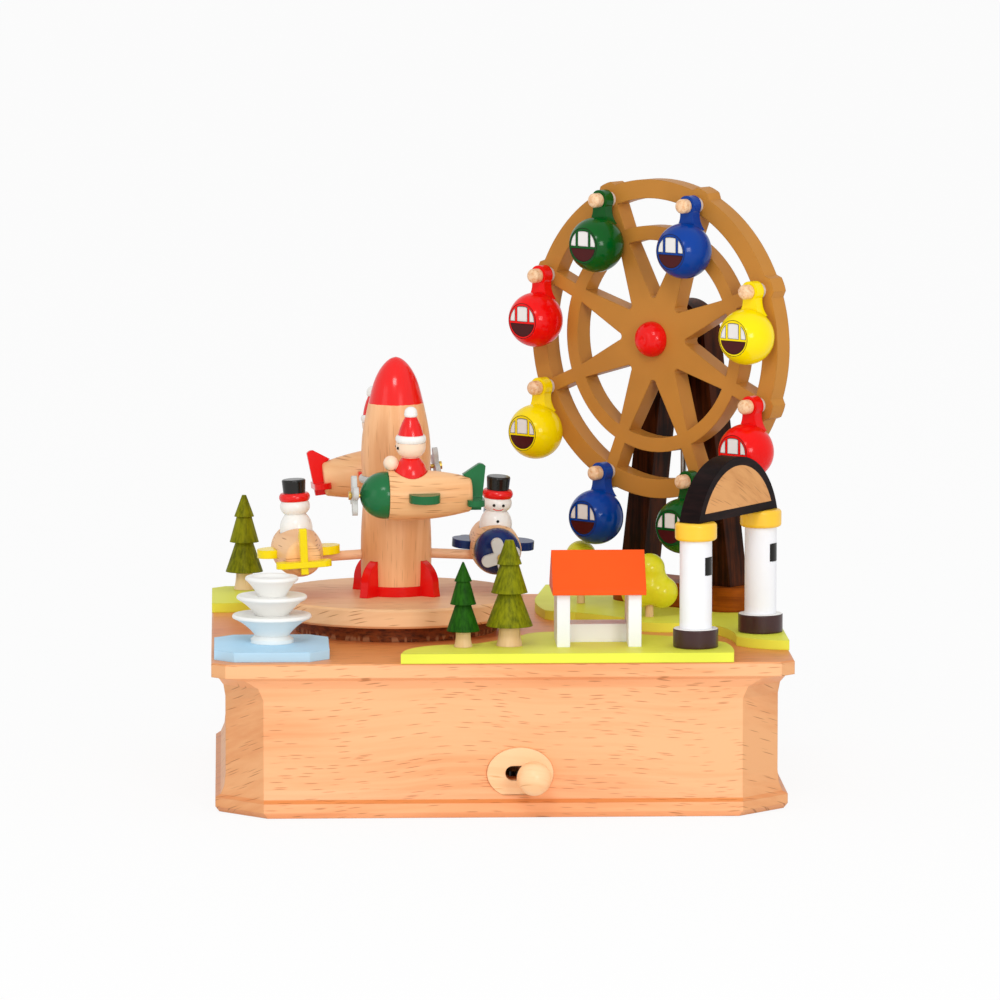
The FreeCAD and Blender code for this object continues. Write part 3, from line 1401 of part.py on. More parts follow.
def hub_knob():
    dome = turned("knob_turned",
                  [(0, 0), (KNOB_RADIUS, 0), (LATHE_FLAT, KNOB_LENGTH),
                   (0, KNOB_LENGTH)], {1: KNOB_LENGTH * 0.42})
    knob = laid_out("knob_dome", dome)
    knob.Placement = FRAME.multiply(knob.Placement)
    finish(knob, "hub_knob")


def wheel_axle():
    """Axle, spacer collar and crown gear whose teeth face forwards."""
    module = TOWER_MODULE.value
    face, back = CROWN_FACE.value, (CROWN_FACE + CROWN_BOARD).value
    collar_end = POST_BEHIND - 0.1
    reach = CROWN_RADIUS.value + CROWN_RIM.value
    axle = Part.makeCylinder(AXLE_RADIUS.value, back, Vector(), Vector(0, 1, 0))
    collar = Part.makeCylinder(AXLE_COLLAR.value, (collar_end - WHEEL_THICKNESS).value,
                               Vector(0, WHEEL_THICKNESS.value, 0), Vector(0, 1, 0))
    board = Part.makeCylinder(reach, CROWN_BOARD.value, Vector(0, face, 0), Vector(0, 1, 0))
    teeth = Part.makeCompound(crown_teeth(CROWN_TEETH, CROWN_RADIUS.value, 0, TOOTH_HEIGHT * module,
                                          2 * CROWN_RIM.value))
    turn = Rotation(Vector(0, 0, -1), Vector(1, 0, 0), Vector(0, -1, 0), "ZXY")
    teeth.Placement = Placement(Vector(0, face, 0), turn)
    shape = axle.fuse([collar, board] + teeth.Solids)
    finish(feature("axle_and_crown", shape, FRAME), "wheel_axle")


def drive_rod():
    """Steel rod from the gear train up behind the wheel, with its pinion at the top."""
    length = 3.6
    phase = 90 - WHEEL_TURN.value
    pinion = gear(WHEEL_PINION_TEETH, TOWER_MODULE.value, phase, length, None,
                  (ROD_AXIS[0].value, ROD_AXIS[1].value), PINION_LEVEL.value)
    shaft = rod("steel_rod", ROD_RADIUS, PINION_LEVEL + length - GEAR_LEVEL,
                ROD_AXIS + (GEAR_LEVEL,))
    finish(fuse("rod_and_pinion", shaft, feature("rod_pinion", pinion)), "drive_rod")


def tower():
    """A-frame board with the axle's bearing and the gear pocket, on its round-ended plinth."""
    drop = HUB_LEVEL - LAWN_TOP - PLINTH_HEIGHT
    spread, head = LEG_SPREAD, POST_HEAD
    c, s = cosine(HEAD_TANGENT), sine(HEAD_TANGENT)
    arch_half = LEG_ARCH_HALF
    legs = slab("legs", [(spread - LEG_FOOT, -drop), (spread, -drop), (head * c, head * s),
                         (-head * c, head * s), (-spread, -drop), (LEG_FOOT - spread, -drop),
                         (-arch_half, -LEG_ARCH), (arch_half, -LEG_ARCH)],
                POST_THICKNESS, {6: -LEG_ARCH_CROWN}, STANDING,
                (0, POST_BEHIND + POST_THICKNESS, 0))
    top = rod("post_head_disc", head, POST_THICKNESS,
              (0, POST_BEHIND + POST_THICKNESS, 0), STANDING)
    gap = RUNNING_GAP
    behind = POST_BEHIND + POST_THICKNESS + 1
    pocket_at = CROWN_TIPS - CROWN_RECESS
    pocket = rod("crown_pocket", CROWN_RADIUS + CROWN_RIM + CROWN_RECESS,
                 behind - pocket_at, (0, behind, 0), STANDING)
    floor = PINION_LEVEL - HUB_LEVEL
    well_front = POST_MIDDLE - PINION_RADIUS - TOWER_MODULE - 0.4
    well = box("pinion_well", 2 * (PINION_RADIUS + TOWER_MODULE + 0.6),
               behind - well_front, 4, (0, (behind + well_front) / 2, floor))
    bore = rod("axle_bearing", AXLE_RADIUS + gap, POST_THICKNESS * 3,
               (0, behind + POST_THICKNESS, 0), STANDING)
    rod_bore = rod("rod_bearing", ROD_RADIUS + gap, drop, (0, POST_MIDDLE, floor - drop))
    frame = cut("post_bored", fuse("post_block", legs, top), pocket, well, bore, rod_bore)
    finish(in_wheel_frame(frame), "tower_frame")
    half = PLINTH_HALF - PLINTH_DEPTH / 2
    plinth = [box("plinth_middle", half * 2, PLINTH_DEPTH, PLINTH_HEIGHT,
                  (0, POST_MIDDLE, 0))]
    for side in (-1, 1):
        plinth.append(rod("plinth_end%d" % side, PLINTH_DEPTH / 2, PLINTH_HEIGHT,
                          (side * half, POST_MIDDLE, 0)))
    free = rod("plinth_hole", ROD_RADIUS + 0.5, PLINTH_HEIGHT + 2, (0, POST_MIDDLE, -1))
    board = cut("plinth_drilled", fuse("plinth_block", *plinth), free)
    finish(in_wheel_frame(board, LAWN_TOP), "tower_plinth")


# ---------------------------------------------------------------- gate and booth
def ring_piece(name, radius, height, x, level, ease):
    """A turned ring or foot with eased edges."""
    return turned(name, [(0, level), (radius - ease, level), (radius, level + ease),
                         (radius, level + height - ease), (radius - ease, level + height),
                         (0, level + height)],
                  {1: ease * 0.28, 3: ease * 0.28}, at=(x, 0, 0))


def gate():
    half = GATE_SPAN / 2
    shaft = GATE_HEIGHT - COLUMN_FOOT_HEIGHT - COLUMN_CAP_HEIGHT
    rings, shafts = [], []
    for i, x in enumerate((-half, half)):
        rings.append(ring_piece("foot_%d" % i, COLUMN_FOOT, COLUMN_FOOT_HEIGHT, x,
                                0, CAP_EASE * 0.4))
        rings.append(ring_piece("cap_%d" % i, COLUMN_CAP, COLUMN_CAP_HEIGHT, x,
                                GATE_HEIGHT - COLUMN_CAP_HEIGHT, CAP_EASE))
        window = box("window_%d" % i, WINDOW_WIDTH, WINDOW_DEEP * 2, WINDOW_TALL,
                     (x, -COLUMN_RADIUS, WINDOW_LEVEL))
        shafts.append(cut("shaft_%d" % i, rod("shaft_rod_%d" % i, COLUMN_RADIUS, shaft,
                                              (x, 0, COLUMN_FOOT_HEIGHT)), window))
    for label, pieces in (("gate_rings", rings), ("gate_columns", shafts)):
        in_gate_frame(bundle(label, *pieces))
    arch, recess = arch_board("arch", 0), arch_board("panel_recess", PANEL_BORDER)
    finish(in_gate_frame(cut("arch_recessed", arch, recess)), "gate_arch")
    finish(in_gate_frame(arch_board("sign_panel", PANEL_BORDER)), "gate_panel")


def arch_board(name, border):
    """Segment of a disc: the whole arch, or the sign's shape inside its border."""
    half, rise = ARCH_LENGTH / 2, ARCH_HEIGHT
    radius = half * half / (2 * rise) + rise / 2
    reach = radius - border
    low = border + GATE_HEIGHT
    depth = rise - radius - border
    chord = root(reach * reach - depth * depth)
    top = reach + (rise - radius) - border
    front = -ARCH_THICKNESS / 2
    thick = ARCH_THICKNESS if number(border) == 0 else PANEL_DEPTH
    return slab(name, [(-chord, low), (chord, low)], thick, {1: top}, STANDING,
                (0, front + thick, 0))


def booth():
    depth = BOOTH_DEPTH
    middle = BOOTH_FRONT + depth / 2
    offset = (BOOTH_WIDTH - BOOTH_BOARD) / 2
    bench_y = BOOTH_FRONT + BENCH_SETBACK + BENCH_DEPTH / 2
    stand = [box("side_%d" % side, BOOTH_BOARD, depth, BOOTH_HEIGHT,
                 (BOOTH_X + side * offset, middle, LAWN_TOP)) for side in (-1, 1)]
    stand.append(box("bench", offset * 2, BENCH_DEPTH, BENCH_HEIGHT,
                     (BOOTH_X, bench_y, LAWN_TOP)))
    finish(fuse("booth_boards", *stand), "booth_stand")
    half = depth / 2 + ROOF_OVERHANG
    turn = Rotation(UP, 90).multiply(STANDING)
    roof = slab("roof", [(-half, 0), (half, 0), (half, ROOF_EAVE), (0, ROOF_RISE),
                         (-half, ROOF_EAVE)], ROOF_LENGTH, None, turn,
                (BOOTH_X - ROOF_LENGTH / 2, middle, LAWN_TOP + BOOTH_HEIGHT))
    finish(roof, "booth_roof")


# ---------------------------------------------------------------- lawns, pond and planting
def on_the_top(label, *boards):
    """Boards glued to the case's top, kept within its edges; the rod passes through."""
    edge = case_section(label + "_edge", CASE_TOP - 1, 0, LIP_CUT)
    limits = raised(label + "_limits", edge, LAWN_HEIGHT * 3)
    rod_hole = rod(label + "_rod_hole", ROD_RADIUS + 0.5, LAWN_HEIGHT * 3,
                   ROD_AXIS + (CASE_TOP - 1,))
    pieces = [cut(label + "_fit%d" % i, meet(label + "_cut%d" % i, board, limits), rod_hole)
              for i, board in enumerate(boards)]
    return bundle(label, *pieces)


def lawns():
    """Three boards: x from the case's middle, the wheel or the left edge, y from the front."""
    beyond = BASE_WIDTH / 2 + LAWN_SPARE
    front = slab("front_lawn", [(x, FRONT + y) for x, y in (
        (-36.5, -LAWN_SPARE), (80.5, -LAWN_SPARE), (79.5, 26), (60, 43), (38, 53.5),
        (17, 55), (9, 48), (-8.5, 26), (-22, 22.5), (-35, 7))],
        LAWN_HEIGHT, {1: 1.2, 2: 1.6, 4: 1.2, 5: 1.4, 6: -1, 8: 2.6}, at=(0, 0, CASE_TOP))
    winding = [(WHEEL_X + x, FRONT + y) for x, y in (
        (-39.5, 113), (-28.7, 106.8), (-15.8, 95.8), (-5.8, 79.6), (7.8, 77), (20.2, 70),
        (25.7, 42))]
    rear = slab("rear_lawn", winding + [
        (beyond, FRONT + 29.5), (beyond, BACK + LAWN_SPARE), (WHEEL_X - 35.8, BACK + LAWN_SPARE),
        (WHEEL_X - 41.3, FRONT + 149)],
        LAWN_HEIGHT, {0: 1.3, 2: -1.2, 3: 1.6, 4: 1, 5: -1.8, 6: 3.4, 10: 1.6},
        at=(0, 0, CASE_TOP))
    corner = slab("corner_lawn", [
        (-beyond, BACK - 48), (LEFT + 20.5, BACK - 45), (LEFT + 35.5, BACK - 30),
        (LEFT + 40.5, BACK + LAWN_SPARE), (-beyond, BACK + LAWN_SPARE)],
        LAWN_HEIGHT, {0: 1.2, 1: 1.6, 2: 2}, at=(0, 0, CASE_TOP))
    on_the_top("lawn_pieces", front, rear, corner)


def pond():
    left, front, corner = POND_LEFT, POND_FRONT, POND_CUT
    right, back = left + POND_LENGTH, front + POND_DEPTH
    board = slab("pond_board",
                 [(left + corner, front), (right - corner, front), (right, front + corner),
                  (right, back - corner), (right - corner, back), (left + corner, back),
                  (left, back - corner), (left, front + corner)],
                 LAWN_HEIGHT, at=(0, 0, CASE_TOP))
    on_the_top("pond", board)


def fountain():
    """One turned piece: foot, then three bowls with rounded rims, each on a neck."""
    rim = BOWL_RIM
    a, b, c = BOWL_LOW_LEVEL, BOWL_MIDDLE_LEVEL, BOWL_HIGH_LEVEL
    foot = FOUNTAIN_FOOT
    item = turned("fountain_turned",
                  [(0, 0), (foot, 0), (foot, 1.4), (foot - 1.6, 2.6), (BOWL_LOW, a - rim),
                   (BOWL_LOW - rim * 0.4, a), (foot - 1.8, a - 0.4), (BOWL_MIDDLE, b - rim),
                   (BOWL_MIDDLE - rim * 0.4, b), (foot - 2.6, b - 0.4),
                   (BOWL_HIGH, c - rim), (BOWL_HIGH - rim * 0.5, c),
                   (BOWL_HIGH - 2.6, c), (BOWL_HIGH - 4, c - 1), (0, c - 1)],
                  {3: -0.7, 4: 0.35, 6: -0.5, 7: 0.35, 9: -0.4, 10: 0.35},
                  FOUNTAIN + (LAWN_TOP,))
    finish(item, "fountain")


def tree_crown(name, height, spread, tip, at):
    """Three cones in one, turned, each stepping in above the last."""
    return turned(name, [(0, height * 0.19), (spread, height * 0.19),
                         (spread * 0.46, height * 0.505), (spread * 0.78, height * 0.505),
                         (spread * 0.4, height * 0.775), (spread * 0.53, height * 0.775),
                         (tip, height), (0, height)], at=at)


def tree_trunk(name, height, spread, at):
    foot, top = spread * 0.56, spread * 0.45
    return turned(name, [(0, 0), (foot, 0), (top, height * 0.19), (0, height * 0.19)],
                  {1: -0.25}, at)


TREES = (("small", SMALL_TREE, SMALL_TREE_SPREAD, 0.3, (-13.7, FRONT + 18.2)),
         ("big", BIG_TREE, BIG_TREE_SPREAD, 1.5, (2.7, FRONT + 20.6)),
         ("rear", REAR_TREE, REAR_TREE_SPREAD, 0.8, (LEFT + 12.1, BACK - 8.5)))
BUSHES = ((WHEEL_X - 25.4, WHEEL_Y + 17.1), (WHEEL_X - 2.3, WHEEL_Y - 20.7))


def planting():
    crowns, trunks, bushes = [], [], []
    for name, height, spread, tip, spot in TREES:
        crowns.append(tree_crown(name + "_crown", height, spread, tip, spot + (LAWN_TOP,)))
        trunks.append(tree_trunk(name + "_trunk", height, spread, spot + (LAWN_TOP,)))
    for i, (x, y) in enumerate(BUSHES):
        stem = rod("stem_%d" % i, BUSH_STEM, BUSH_STEM_HEIGHT + 2, (x, y, LAWN_TOP))
        low = LAWN_TOP + BUSH_STEM_HEIGHT
        lobe, side = BUSH_LOBE, BUSH_SPREAD
        bush = fuse("bush_block_%d" % i,
                    ball("left_lobe_%d" % i, lobe, (x - side, y, low + lobe)),
                    ball("right_lobe_%d" % i, lobe, (x + side, y, low + lobe)),
                    ball("heart_%d" % i, lobe, (x, y, low + lobe * 1.5)),
                    ball("top_lobe_%d" % i, lobe * 0.95, (x, y, low + lobe + BUSH_RISE)))
        bushes.append(cut("bush_%d" % i, bush, stem))
        trunks.append(stem)
    bundle("tree_crowns", *crowns)
    bundle("tree_trunks", *trunks)
    bundle("bushes", *bushes)


# ---------------------------------------------------------------- build, check and write
def build():
    base_case()
    lever_escutcheon()
    cover_and_screws()
    movement_bedplate()
    pinned_cylinder()
    winding_key()
    gear_train()
    gear_pins()
    stop_lever()
    turntable()
    rocket()
    aeroplanes()
    wheel_disc()
    pegs()
    gondolas()
    hub_knob()
    wheel_axle()
    drive_rod()
    tower()
    gate()
    booth()
    lawns()
    pond()
    fountain()
    planting()
    doc.recompute()


def write():
    bad = [o.Name for o in doc.Objects if "Invalid" in o.State or "Error" in o.State]
    if bad:
        raise RuntimeError("failed objects: " + ", ".join(bad))
    os.makedirs("parts", exist_ok=True)
    for item in made:
        shape = item.Shape
        if shape.isNull() or not shape.isValid() or not shape.Solids:
            raise RuntimeError("bad shape: " + item.Label)
        shape.exportStep("parts/" + item.Label + ".step")
        print("%-20s %2d solids %10.1f mm3" % (item.Label, len(shape.Solids), shape.Volume))
    print(len(made), "sub-parts")


build()
write()
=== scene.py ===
# %% [markdown]
# # A wind-up wooden fairground
# The toy is a music box: a moulded beech base with an aeroplane carousel on the left and a big
# wheel on the right. Its wooden pieces are already modelled and packed at their real size, so this
# lesson is about their looks: lacquered and stained woods, gloss paint, small printed and painted
# details, a camera and a soft studio. The model is in metres; a measure in millimetres is
# multiplied by MM, at once or where it is used.

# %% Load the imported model
import json
import math

import bmesh
import bpy
from mathutils import Matrix, Vector


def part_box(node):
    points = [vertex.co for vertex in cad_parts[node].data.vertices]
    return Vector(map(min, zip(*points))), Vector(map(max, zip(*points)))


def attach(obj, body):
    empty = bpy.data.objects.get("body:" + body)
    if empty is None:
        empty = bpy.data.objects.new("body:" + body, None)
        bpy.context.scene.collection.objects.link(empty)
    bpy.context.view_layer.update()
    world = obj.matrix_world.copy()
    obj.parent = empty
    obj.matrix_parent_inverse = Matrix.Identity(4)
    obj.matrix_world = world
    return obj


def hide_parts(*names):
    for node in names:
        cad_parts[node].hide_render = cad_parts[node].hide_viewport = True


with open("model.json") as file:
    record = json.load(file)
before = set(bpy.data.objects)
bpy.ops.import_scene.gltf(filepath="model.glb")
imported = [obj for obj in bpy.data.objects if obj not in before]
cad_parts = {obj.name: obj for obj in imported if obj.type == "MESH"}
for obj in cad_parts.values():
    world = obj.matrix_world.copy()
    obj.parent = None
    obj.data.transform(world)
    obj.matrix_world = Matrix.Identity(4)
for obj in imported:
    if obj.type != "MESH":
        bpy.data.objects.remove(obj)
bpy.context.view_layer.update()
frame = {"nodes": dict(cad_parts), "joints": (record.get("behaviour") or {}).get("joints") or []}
joints = {joint["name"]: joint for joint in frame["joints"]}
MM = 0.001
print("loaded", len(frame["nodes"]), "nodes")

# %% [markdown]
# ## The camera
# A long lens from 2.6 m keeps the base's edges nearly parallel, as in a catalogue picture. The
# camera comes first, so that every later look is judged from it.

# %% Place the camera
CAMERA_PLACE = (-0.0955930, -2.5895520, 0.4133940)
CAMERA_TILT = math.radians(83.14)
CAMERA_TURN = math.radians(-2.16)
LENS_MM = 259.4
SENSOR_MM = 36

lens = bpy.data.cameras.new("camera")
lens.lens = LENS_MM
lens.sensor_width = SENSOR_MM
lens.clip_end = 20
camera = bpy.data.objects.new("camera", lens)
camera.location = CAMERA_PLACE
camera.rotation_euler = (CAMERA_TILT, 0, CAMERA_TURN)
scene = bpy.context.scene
scene.collection.objects.link(camera)
scene.camera = camera
scene.view_settings.view_transform = "Standard"
print("camera at", CAMERA_PLACE)

# %% [markdown]
# ## Shader maths that reads like arithmetic
# A finish is a small network of nodes. Placing each Math node by hand hides the idea, so one class
# wraps a socket and overloads the operators: `mask * 0.3 + 0.1` lays down the nodes itself. A
# second class holds a material while it is made and adds any other kind of node.

# %% A socket that does arithmetic
class Wire:
    """An output socket in a material; arithmetic on it adds Math nodes."""

    def __init__(self, finish, socket):
        self.finish = finish
        self.socket = socket

    def __add__(self, other):
        return self.finish.math("ADD", self, other)

    __radd__ = __add__

    def __sub__(self, other):
        return self.finish.math("SUBTRACT", self, other)

    def __rsub__(self, other):
        return self.finish.math("SUBTRACT", other, self)

    def __mul__(self, other):
        return self.finish.math("MULTIPLY", self, other)

    __rmul__ = __mul__

    def __truediv__(self, other):
        return self.finish.math("DIVIDE", self, other)

    def __gt__(self, other):
        return self.finish.math("GREATER_THAN", self, other)

    def __lt__(self, other):
        return self.finish.math("LESS_THAN", self, other)


# %% A material while it is made
class Finish:
    """A material under construction."""

    def __init__(self, name):
        self.material = bpy.data.materials.new(name)
        self.material.use_nodes = True
        self.tree = self.material.node_tree
        self.shader = self.tree.nodes["Principled BSDF"]

    def add(self, kind, settings=None, inputs=None, output=0):
        """Add a node: its settings first, then the values or links of its sockets."""
        node = self.tree.nodes.new(kind)
        for key, value in (settings or {}).items():
            if key == "stops":
                self.set_stops(node.color_ramp.elements, value)
            else:
                setattr(node, key, value)
        for key, value in (inputs or {}).items():
            self.feed(node.inputs[key], value)
        return Wire(self, node.outputs[output])

    def set_stops(self, elements, stops):
        """A ramp's stops: (place, colour)."""
        while len(elements) < len(stops):
            elements.new(1)
        for element, (place, colour) in zip(elements, stops):
            element.position = place
            element.color = colour

    def math(self, operation, *values):
        """A Math node on up to three values."""
        return self.add("ShaderNodeMath", {"operation": operation}, dict(enumerate(values)))

    def feed(self, socket, value):
        """Link a socket to a wire, or set its value."""
        if isinstance(value, Wire):
            self.tree.links.new(value.socket, socket)
        else:
            socket.default_value = value

    def surface(self, **values):
        """Feed the main shader, by the short names of its sockets."""
        names = {"colour": "Base Color", "roughness": "Roughness", "metallic": "Metallic",
                 "coat": "Coat Weight", "coat_roughness": "Coat Roughness", "normal": "Normal",
                 "specular": "Specular IOR Level"}
        for key, value in values.items():
            self.feed(self.shader.inputs[names[key]], value)
        return self.material

    def show(self, result):
        """End the tree in a shader of its own."""
        end = next(node for node in self.tree.nodes if node.type.startswith("OUTPUT"))
        self.feed(end.inputs["Surface"], result)

    def spot(self):
        """Where on the object: metres in the model's frame."""
        return self.add("ShaderNodeTexCoord", output="Object")

    def along(self, spot, origin, axis):
        """How far a spot is from an origin along an axis, in metres."""
        away = self.add("ShaderNodeVectorMath", {"operation": "SUBTRACT"},
                        {0: spot, 1: origin[:]})
        return self.add("ShaderNodeVectorMath", {"operation": "DOT_PRODUCT"},
                        {0: away, 1: axis[:]}, output="Value")

    def axes(self, vector):
        """A vector's x, y and z."""
        split = self.add("ShaderNodeSeparateXYZ", inputs={0: vector})
        outputs = split.socket.node.outputs
        return [Wire(self, outputs[i]) for i in range(3)]

    def scaled(self, vector, scale, turn=(0, 0, 0)):
        return self.add("ShaderNodeMapping", inputs={"Vector": vector, "Scale": scale,
                                                     "Rotation": turn})

    def noise(self, vector, detail=2.0, roughness=0.5):
        return self.add("ShaderNodeTexNoise", inputs={
            "Vector": vector, "Scale": 1.0, "Detail": detail, "Roughness": roughness})

    def wander(self, vector, frequency, reach):
        """The place, moved about by slow noise, so that a grain's lines aren't straight."""
        cloud = self.add("ShaderNodeTexNoise", inputs={
            "Vector": vector, "Scale": frequency, "Detail": 1.0}, output="Color")
        shift = self.add("ShaderNodeVectorMath", {"operation": "SCALE"},
                         {0: cloud, "Scale": reach})
        return self.add("ShaderNodeVectorMath", {"operation": "ADD"}, {0: vector, 1: shift})

    def smooth(self, value, low, high):
        """0 below low, 1 above high, with a soft step between."""
        return self.add("ShaderNodeMapRange", {"interpolation_type": "SMOOTHSTEP"},
                        {"Value": value, "From Min": low, "From Max": high})

    def mix(self, share, first, second, blend="MIX"):
        """A share of the second colour over the first."""
        return self.add("ShaderNodeMix", {"data_type": "RGBA", "blend_type": blend},
                        {0: share, 6: first, 7: second}, output=2)

    def soft_edge(self, radius, height, strength, distance=0.0001):
        """A normal that rounds sharp edges and is roughened by a height."""
        edge = self.add("ShaderNodeBevel", {"samples": 4}, {"Radius": radius})
        return self.add("ShaderNodeBump", inputs={"Strength": strength, "Distance": distance,
                                                  "Height": height, "Normal": edge})


# %% Colours as they are named on a paint card
def paint_card(code):
    """Six hexadecimal digits to the linear colour that a shader takes."""
    linear = []
    for i in (1, 3, 5):
        value = int(code[i:i + 2], 16) / 255
        linear.append(value / 12.92 if value <= 0.04045 else ((value + 0.055) / 1.055) ** 2.4)
    return (*linear, 1.0)


WHITE = paint_card("#F4F3EF")
BLACK = paint_card("#15130F")
PURE_WHITE = (1, 1, 1, 1)

# How round an edge looks, in metres.
FINE_EDGE, BOARD_EDGE = 0.0004, 0.0006

# %% [markdown]
# ## Beech
# Beech is pinkish tan with soft pale and darker bands. Its mark is its rays: thin ribbons that run
# from the tree's heart outwards. A board's face cuts them into short dark dashes, and a cut corner
# shows them longer and aslant. So the rays aren't painted on each face: they are flat cells of a
# Voronoi texture in the solid wood, long along the grain, longer outwards and thin across, and
# every face cuts them as a saw would.

# %% Rays and grain inside the wood
RAY_ALONG, RAY_OUT, RAY_ACROSS = 88, 50, 1500
HEART_TILT = math.radians(29)
# Cells in a metre along x, y and z, for wood that lies, stands or follows a ring.
CUTS = {
    "board": {"ray": (RAY_ALONG, RAY_OUT, RAY_ACROSS), "fine": (18, 90, 420),
              "broad": (8, 16, 34), "tilt": (HEART_TILT, 0, 0)},
    "post": {"ray": (RAY_ACROSS, RAY_OUT, RAY_ALONG), "fine": (420, 120, 18),
             "broad": (60, 60, 9), "tilt": (0, 0, 0)},
    "ring": {"ray": (RAY_ALONG, RAY_ACROSS, RAY_OUT), "fine": (18, 420, 90),
             "broad": (9, 60, 30), "tilt": (0, 0, 0)},
}
RAY_SIZE, RAY_CORE = 0.29, 0.45


def rays_in(finish, spot, cut, share):
    """1 inside a ray, for a share of the cells."""
    cells = finish.scaled(spot, CUTS[cut]["ray"])
    gap = finish.add("ShaderNodeTexVoronoi", inputs={"Vector": cells, "Scale": 1.0})
    chance = finish.axes(Wire(finish, gap.socket.node.outputs["Color"]))[0]
    return finish.smooth(gap, RAY_SIZE, RAY_SIZE * RAY_CORE) * (chance < share)


def wood_colour(finish, spot, cut, pale, dark, ray, share=0.9, ray_depth=0.75, bands=1.0):
    """Colour and relief of bare wood; share is how many cells hold a ray, and fewer bands
    make a plainer wood."""
    turned = finish.scaled(spot, (1, 1, 1), CUTS[cut]["tilt"])
    bent = finish.wander(turned, 13.0, 0.011)
    broad = finish.noise(finish.scaled(bent, CUTS[cut]["broad"]), detail=1.0)
    fine = finish.noise(finish.scaled(bent, CUTS[cut]["fine"]), detail=3.0, roughness=0.6)
    tone = finish.smooth(broad * bands + fine * 0.6, 0.3 + 0.3 * bands, 0.55 + 0.5 * bands)
    mark = rays_in(finish, bent, cut, share)
    colour = finish.mix(mark * ray_depth, finish.mix(tone, pale, dark), ray)
    return colour, fine * 0.5 - mark


def timber(name, pale, dark, ray, cut="board", share=0.9, ray_depth=0.75, bands=1.0, gloss=0.42,
           coat=0.1, edge=FINE_EDGE, place=None):
    """Lacquered timber; place is given where the grain isn't straight."""
    finish = Finish(name)
    spot = place(finish) if place else finish.spot()
    colour, height = wood_colour(finish, spot, cut, pale, dark, ray, share, ray_depth, bands)
    return finish.surface(
        colour=colour, roughness=gloss, coat=coat, coat_roughness=0.25, specular=0.2,
        normal=finish.soft_edge(edge, height, 0.1))


BEECH_PALE = paint_card("#FDBA86")
BEECH_DARK = paint_card("#F1A36D")
BEECH_RAY = paint_card("#A3622F")

# %% [markdown]
# ## Gloss paint on wood
# The bright pieces are dipped or sprayed: the colour is even, and the wood's grain shows through
# only as a faint relief. The paint is full and deep, so its own mirror-like part is kept weak and
# the lamps draw small highlights on it. The colour varies by a few percent in clouds.

# %% Paint
def gloss_paint(name, colour, gloss=0.2, coat=0.2, relief=0.06, edge=0.0005, shade=0.88):
    """Even paint; shade is how deep its clouds are."""
    finish = Finish(name)
    spot = finish.spot()
    cloud = finish.noise(finish.scaled(spot, (45, 45, 45)), detail=2.0)
    grain = finish.noise(finish.scaled(spot, (320, 320, 60)), detail=3.0)
    deep = (colour[0] * shade, colour[1] * shade, colour[2] * shade, 1.0)
    mixed = finish.mix(finish.smooth(cloud, 0.35, 0.75), colour, deep)
    return finish.surface(
        colour=mixed, roughness=gloss + cloud * 0.08, coat=coat, coat_roughness=0.12,
        specular=0.12, normal=finish.soft_edge(edge, grain, relief))


# %% Stain that lets the grain show
def stained(name, colour, deep, cut="post", gloss=0.45, edge=FINE_EDGE):
    """Thin stain: the grain drinks it unevenly, so streaks stay visible."""
    finish = Finish(name)
    spot = finish.spot()
    bent = finish.wander(spot, 25.0, 0.004)
    streak = finish.noise(finish.scaled(bent, CUTS[cut]["fine"]), detail=4.0, roughness=0.7)
    cloud = finish.noise(finish.scaled(spot, (70, 70, 70)), detail=2.0)
    tone = finish.smooth(streak * 0.8 + cloud * 0.4, 0.42, 0.75)
    return finish.surface(
        colour=finish.mix(tone, colour, deep), roughness=gloss, coat=0.03, coat_roughness=0.3,
        specular=0.06, normal=finish.soft_edge(edge, streak, 0.15))


# %% Metals
BRUSH_MARKS = (40, 40, 900)


def metal(name, colour, roughness):
    """Metal with fine brush marks."""
    finish = Finish(name)
    brush = finish.noise(finish.scaled(finish.spot(), BRUSH_MARKS))
    return finish.surface(colour=colour, metallic=1.0, roughness=brush * 0.2 + roughness,
                          normal=finish.soft_edge(0.0002, brush, 0.05, 0.00005))


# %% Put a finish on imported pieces
def dress(material, *nodes):
    """Give CAD nodes a finish: their shape stays as it is."""
    for node in nodes:
        slots = frame["nodes"][node].material_slots
        for slot in slots:
            slot.material = material
        if not len(slots):
            frame["nodes"][node].data.materials.append(material)


# %% [markdown]
# ## The base
# The case is beech with its grain from side to side. The top board is painted a shade darker than
# the front, as painted shade where less light falls on it, and the ends and the slanting corners
# are a little darker too. The oval shield behind the lever and the ball knob are a paler, plainer
# wood.

# %% Dress the base
def beech_case():
    finish = Finish("beech_case")
    spot = finish.spot()
    wood, height = wood_colour(finish, spot, "board", BEECH_PALE, BEECH_DARK, BEECH_RAY,
                               ray_depth=0.6)
    across, _, up = finish.axes(finish.add("ShaderNodeNewGeometry", output="Normal"))
    slant = finish.math("ABSOLUTE", across)
    # Painted shade: the top is multiplied darker where less light falls on it; the ends and
    # slanting corners are multiplied a little darker too.
    for share, shade in ((finish.smooth(up, 0.5, 0.9), "#EBD0A8"),
                         (finish.smooth(slant, 0.3, 0.6), "#EDEEE4")):
        wood = finish.mix(share, wood, paint_card(shade), "MULTIPLY")
    return finish.surface(
        colour=wood, roughness=0.42, coat=0.1, coat_roughness=0.25, specular=0.3,
        normal=finish.soft_edge(BOARD_EDGE, height, 0.1))


maple = timber("pale_maple", paint_card("#FDD3A2"), paint_card("#F6C08C"), paint_card("#D9A066"),
               share=0.25, bands=0.6, gloss=0.35, coat=0.2, edge=BOARD_EDGE)
dress(beech_case(), "base_case")
dress(maple, "lever_escutcheon", "stop_lever")
dress(timber("cover_plywood", paint_card("#E2BE8C"), paint_card("#CFA571"),
             paint_card("#9A6E42")), "bottom_cover")

# %% [markdown]
# ## Lawns, pond and planting
# The boards on top are painted yellow-green and pale blue. The trees are turned and stained, so
# their grain shows as streaks; the fountain is white gloss.

